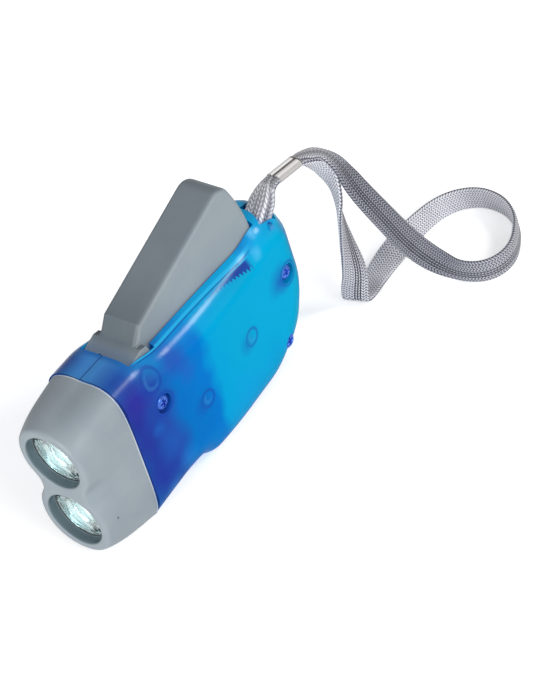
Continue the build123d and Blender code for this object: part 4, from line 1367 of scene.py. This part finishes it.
# The seats that show through the wall as rings of painted shade with a painted highlight: the lever's
# pin, the two gear shafts and two of the screws.
SHELL_BOSSES = (Boss(-20.7, 46.1, 3.9), Boss(-3.84, 23.74, 2.9), Boss(20.57, 25.79, 2.9),
                Boss(-19.2, 36.2, 3.9), Boss(43.5, 30.3, 3.9))

# Soft patches of painted shade and painted light, two of them pale painted glints: along the torch,
# up, the radii where each fades, how strong, and its colour.
SHELL_PAINTED_PATCHES = (
    PaintedPatch(-29, 44, 2.0, 8.0, 0.8, "#33309A"), PaintedPatch(-14, 31, 1.0, 6.0, 0.3, "#0F66C0"),
    PaintedPatch(-26, 7, 0.5, 5.0, 0.5, "#3A8FD8"), PaintedPatch(-32, 30, 1.0, 8.0, 0.6, "#2B3698"),
    PaintedPatch(-29, 14, 1.0, 8.0, 0.5, "#2A3A9E"), PaintedPatch(-11, 45, 2.0, 6.5, 0.75, "#2A55B4"),
    PaintedPatch(-8, 39, 1.0, 5.0, 0.45, "#2A62BC"), PaintedPatch(33, 52.5, 1.0, 5.5, 0.55, "#1B55B8"),
    PaintedPatch(38, 51.0, 0.2, 2.2, 0.6, "#7FD0F6"), PaintedPatch(35, 46.5, 0.2, 2.4, 0.45, "#6CC8F2"),
    PaintedPatch(39, 31.5, 0.5, 6.0, 0.65, "#1C5CB8"), PaintedPatch(-22, 22, 1.0, 7.0, 0.35, "#1F6CC4"),
    PaintedPatch(12, 10, 2.0, 12.0, 0.4, "#14A0DC"), PaintedPatch(-24, 30, 0.5, 3.5, 0.4, "#1F72C8"),
    PaintedPatch(-31, 38, 0.5, 5.0, 0.6, "#2A2F92"), PaintedPatch(-17, 12, 0.5, 5.5, 0.35, "#2F8FDC"),
    PaintedPatch(28, 13, 0.5, 7.0, 0.25, "#0494CC"), PaintedPatch(-22, 8, 0.5, 3.5, 0.4, "#243C9C"))


class Finish(Enum):
    """Every finish of the torch, by what it is made of."""

    # Moulded polystyrene, tinted and see-through: glassy on its shoulders, milky on its sides.
    BLUE = TintedShell("moulded_blue_polystyrene", SHELL_TONES, SHELL_BOSSES, SHELL_PAINTED_PATCHES)
    # Moulded ABS with a satin skin: soft broad lights, paler edges as a painted highlight, and lens hollows
    # darkened as painted shade.
    GREY = MouldedPlastic(
        "moulded_grey_abs", "#8B959B", "#869098", edge_highlight="#C6CED2", pips=((-48.0 * MM, 0.0, 16.4 * MM),),
        hollows=tuple((-50 * MM, 0.0, height) for height in LENS_HEIGHTS.values()))
    # The same ABS on the lever: a darker top and hinge end as painted shade, and a paler edge along the sides
    # as a painted highlight.
    LEVER_GREY = MouldedPlastic(
        "lever_grey_abs_painted_shade", "#8D979C", "#88929A", edge_highlight="#B9C2C6", top_shade="#B2B7BB")
    # Moulded acrylic: clear, with small sharp lights.
    LENS = ClearPlastic("moulded_clear_acrylic", "#F6FBFB")
    # Plastic with metal laid on it in a vacuum: a bright mirror with painted reflections, dark streaks and a
    # cool heart.
    REFLECTOR = Streaked("vacuum_metallised_reflector", "#FCFDFD", "#20292C", "#DDF6F7")
    # Cast epoxy round a small chip: a pale painted glow in the bowl's throat.
    LIGHT = Glow("clear_epoxy_light", "#E4FBFF", 0.9)
    # Glass fibre under green lacquer: a dull green plate.
    BOARD = MouldedPlastic("green_fibreglass_board", "#2C6B3C", "#235A31", 0.35)
    # Moulded acetal, dark and light: waxy teeth with soft lights.
    DARK_GEAR = MouldedPlastic("dark_acetal_gear", "#23262E", "#1C1F26", 0.35)
    WHITE_GEAR = MouldedPlastic("white_acetal_gear", "#F2F3F0", "#E6E8E4", 0.4)
    # Drawn steel rod: fine lines along it and a sharp light.
    STEEL = Metal("drawn_steel", "#C9CACC", 0.3)
    # Sintered magnet and pressed yoke: dark, grainy and hardly bright.
    CAST = Metal("sintered_magnet_metal", "#5A5B5E", 0.5, tarnish="#37302A", tarnish_share=0.4)
    # Enamelled wire, wound: orange-brown with a line for each turn.
    COPPER = Metal(
        "enamelled_copper_wire", "#B4632C", 0.35, stretch=(0.2, 3.0, 0.2), line=0.2 * MM, depth=0.05 * MM)
    # Nickel plate on the cells: a clean, warm grey mirror.
    CELL = Metal("nickel_plated_cell", "#D9D7D0", 0.22)
    # Moulded black nylon: a dark satin.
    BLACK = MouldedPlastic("black_moulded_nylon", "#17181A", "#101113", 0.4)
    # Plated brass, crimped: two white rolls, with painted shade in the line between them, on the flanks and
    # at the rims.
    FERRULE = Crimped("bright_plated_brass", "#FBFAF8", "#4B3B36", -4.3 * MM,
                      (53.2 * MM, -4.3 * MM, 55.0 * MM), (66.6 * MM, -4.3 * MM, 52.5 * MM))
    # Steel that takes the shell's blue: a small dark end beside the strap.
    PIN = Metal("blued_steel_pin", "#1E8FCB", 0.35, tarnish="#1B6FC0", tarnish_share=0.5, metallic=0.2)
    # Steel deep in blue wells: a violet-blue head with a bright rim.
    SCREW = Metal("blued_steel_screw", "#4A76D6", 0.2, tarnish="#17308C", tarnish_share=0.8, metallic=0.7)
    # Woven polyester: a dry silver-grey weave without a sharp light.
    BRAID = Braid("polyester_braid", "#EFEFF6", "#444856")


SLOT_FINISH: dict[str, Finish] = {
    "blue_shell": Finish.BLUE, "grey_plastic": Finish.GREY, "clear_lens": Finish.LENS,
    "reflector": Finish.REFLECTOR, "led": Finish.LIGHT, "board": Finish.BOARD,
    "dark_gear": Finish.DARK_GEAR, "white_gear": Finish.WHITE_GEAR, "steel": Finish.STEEL,
    "cast_metal": Finish.CAST, "copper": Finish.COPPER, "cell": Finish.CELL,
    "black_plastic": Finish.BLACK, "ferrule": Finish.FERRULE, "braid": Finish.BRAID,
}

NODE_FINISH: dict[str, Finish] = {"strap_pin": Finish.PIN, "lever": Finish.LEVER_GREY}


@dataclass
class Torch:
    """The whole torch: its frame's nodes and the pieces added to them."""

    materials: dict[Finish, bpy.types.Material] = field(default_factory=dict)

    def material(self, finish: Finish) -> bpy.types.Material:
        """The material of a finish, built once.

        Args:
            finish: one of the torch's finishes.

        Returns:
            The material.
        """
        if finish not in self.materials:
            self.materials[finish] = finish.value.make()
        return self.materials[finish]

    def dress_frame(self) -> None:
        """Gives every node of the frame the finish of its slot."""
        for entry in FRAME["record"]["subparts"]:
            finish = NODE_FINISH.get(entry["node"], SLOT_FINISH[entry["material_slot"]])
            paint(FRAME["nodes"][entry["node"]], self.material(finish))
            LOG.info("%s is %s", entry["node"], finish.value.name)

    def build(self) -> None:
        """Adds the pieces that the frame has no detail for."""
        added = [(Strap(STRAP_POINTS), Finish.BRAID)]
        added += [(FlutedReflector(node, height), Finish.REFLECTOR) for node, height in LENS_HEIGHTS.items()]
        added += [(CrossScrews(SCREW_SEATS), Finish.SCREW)]
        for piece, finish in added:
            made = piece.build()
            paint(made, self.material(finish))
            LOG.info("%s is %s", made.name, finish.value.name)


@dataclass(frozen=True)
class Lamp:
    """One soft lamp of the studio, turned to the torch."""

    name: str
    place: Point
    size: float
    power: float
    aim: Point = (0.0, 0.0, 0.03)

    def add(self) -> None:
        """Puts the lamp in the scene."""
        light = bpy.data.lights.new(self.name, "AREA")
        light.shape = "DISK"
        light.size = self.size
        light.energy = self.power
        made = bpy.data.objects.new(self.name, light)
        made.location = self.place
        ahead = np.array(self.aim) - np.array(self.place)
        ahead = ahead / np.linalg.norm(ahead)
        made.rotation_euler = (math.acos(-ahead[2]), 0.0, math.atan2(ahead[1], ahead[0]) - math.pi / 2)
        bpy.context.scene.collection.objects.link(made)
        LOG.info("lamp %s", self.name)


@dataclass
class Studio:
    """A pale floor, a white surround, soft lamps and the photograph's camera."""

    lamps: tuple[Lamp, ...]
    camera_place: Point = (-0.51032094, -0.62674866, 0.73685006)
    camera_turn: Point = (46.947580, 13.823838, -53.735117)
    lens_mm: float = 191.05714
    sensor_mm: float = 36.0
    view_end: float = 20.0
    floor_half: float = 3.0
    floor_cloud: float = 0.3
    floor_lift: float = 0.44
    surround: float = 0.35

    def floor(self) -> None:
        """A plain paper floor that takes the soft shadow, lifted to white for the camera."""
        half = self.floor_half
        points = np.array([[-half, -half, 0], [half, -half, 0], [half, half, 0], [-half, half, 0]])
        made = mesh_object("floor", points, [(0, 1, 2, 3)], smooth=False)
        graph = Graph(bpy.data.materials.new("studio_paper"))
        cloud = graph.node("TexNoise", {"Vector": graph.place, "Scale": 1 / self.floor_cloud, "Detail": 3.0})
        pale = graph.node("MapRange", (cloud, *NOISE, 0.0, 1.0))
        paper = graph.node("BsdfDiffuse", {"Color": graph.layers(linear("#FDFDFD"), (pale, "#FFFFFF"))})
        lift = graph.overlap(graph.node("LightPath").outputs["Is Camera Ray"], self.floor_lift)
        lit = graph.node("Emission", {"Color": (1, 1, 1, 1), "Strength": lift})
        paint(made, graph.finish(graph.node("AddShader", (paper, lit))))

    def world(self) -> None:
        """White to look at, also through the lenses, and softer as a light."""
        bpy.context.scene.world = bpy.data.worlds.new("surround")
        graph = Graph(bpy.context.scene.world, "OutputWorld")
        rays = graph.node("LightPath").outputs
        seen = graph.node("Math", (rays["Is Camera Ray"], rays["Is Transmission Ray"]), operation="MAXIMUM")
        strength = graph.node("MapRange", (seen, 0.0, 1.0, self.surround, 1.0))
        graph.finish(graph.node("Background", {"Color": (1, 1, 1, 1), "Strength": strength}))

    def camera(self) -> None:
        """The photograph's view."""
        lens = bpy.data.cameras.new("camera")
        lens.lens = self.lens_mm
        lens.sensor_width = self.sensor_mm
        lens.clip_end = self.view_end
        made = bpy.data.objects.new("camera", lens)
        made.location = self.camera_place
        made.rotation_euler = tuple(math.radians(angle) for angle in self.camera_turn)
        bpy.context.scene.collection.objects.link(made)
        bpy.context.scene.camera = made

    def build(self) -> None:
        """Sets the whole studio."""
        self.floor()
        self.world()
        self.camera()
        for lamp in self.lamps:
            lamp.add()
        bpy.context.scene.view_settings.view_transform = "Standard"


LAMPS = (
    Lamp("key", (-0.2, -1.22, 0.6), 0.8, 7.7),
    Lamp("fill", (-1.25, -0.1, 0.3), 0.7, 12.5),
    Lamp("shine", (0.62, -0.7, 0.75), 0.28, 4.0),
)


def main() -> None:
    """Builds the torch and its studio."""
    logging.basicConfig(level=logging.INFO, format="%(name)s: %(message)s")
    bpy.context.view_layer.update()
    torch = Torch()
    torch.dress_frame()
    torch.build()
    Studio(LAMPS).build()


with open("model.json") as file:
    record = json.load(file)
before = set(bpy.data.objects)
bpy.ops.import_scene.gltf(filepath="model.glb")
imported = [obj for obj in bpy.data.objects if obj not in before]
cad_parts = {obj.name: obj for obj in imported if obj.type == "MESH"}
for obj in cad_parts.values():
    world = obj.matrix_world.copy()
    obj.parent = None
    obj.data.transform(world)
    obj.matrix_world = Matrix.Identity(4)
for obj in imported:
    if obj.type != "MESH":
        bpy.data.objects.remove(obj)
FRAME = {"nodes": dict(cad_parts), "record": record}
if __name__ == "__main__":
    main()
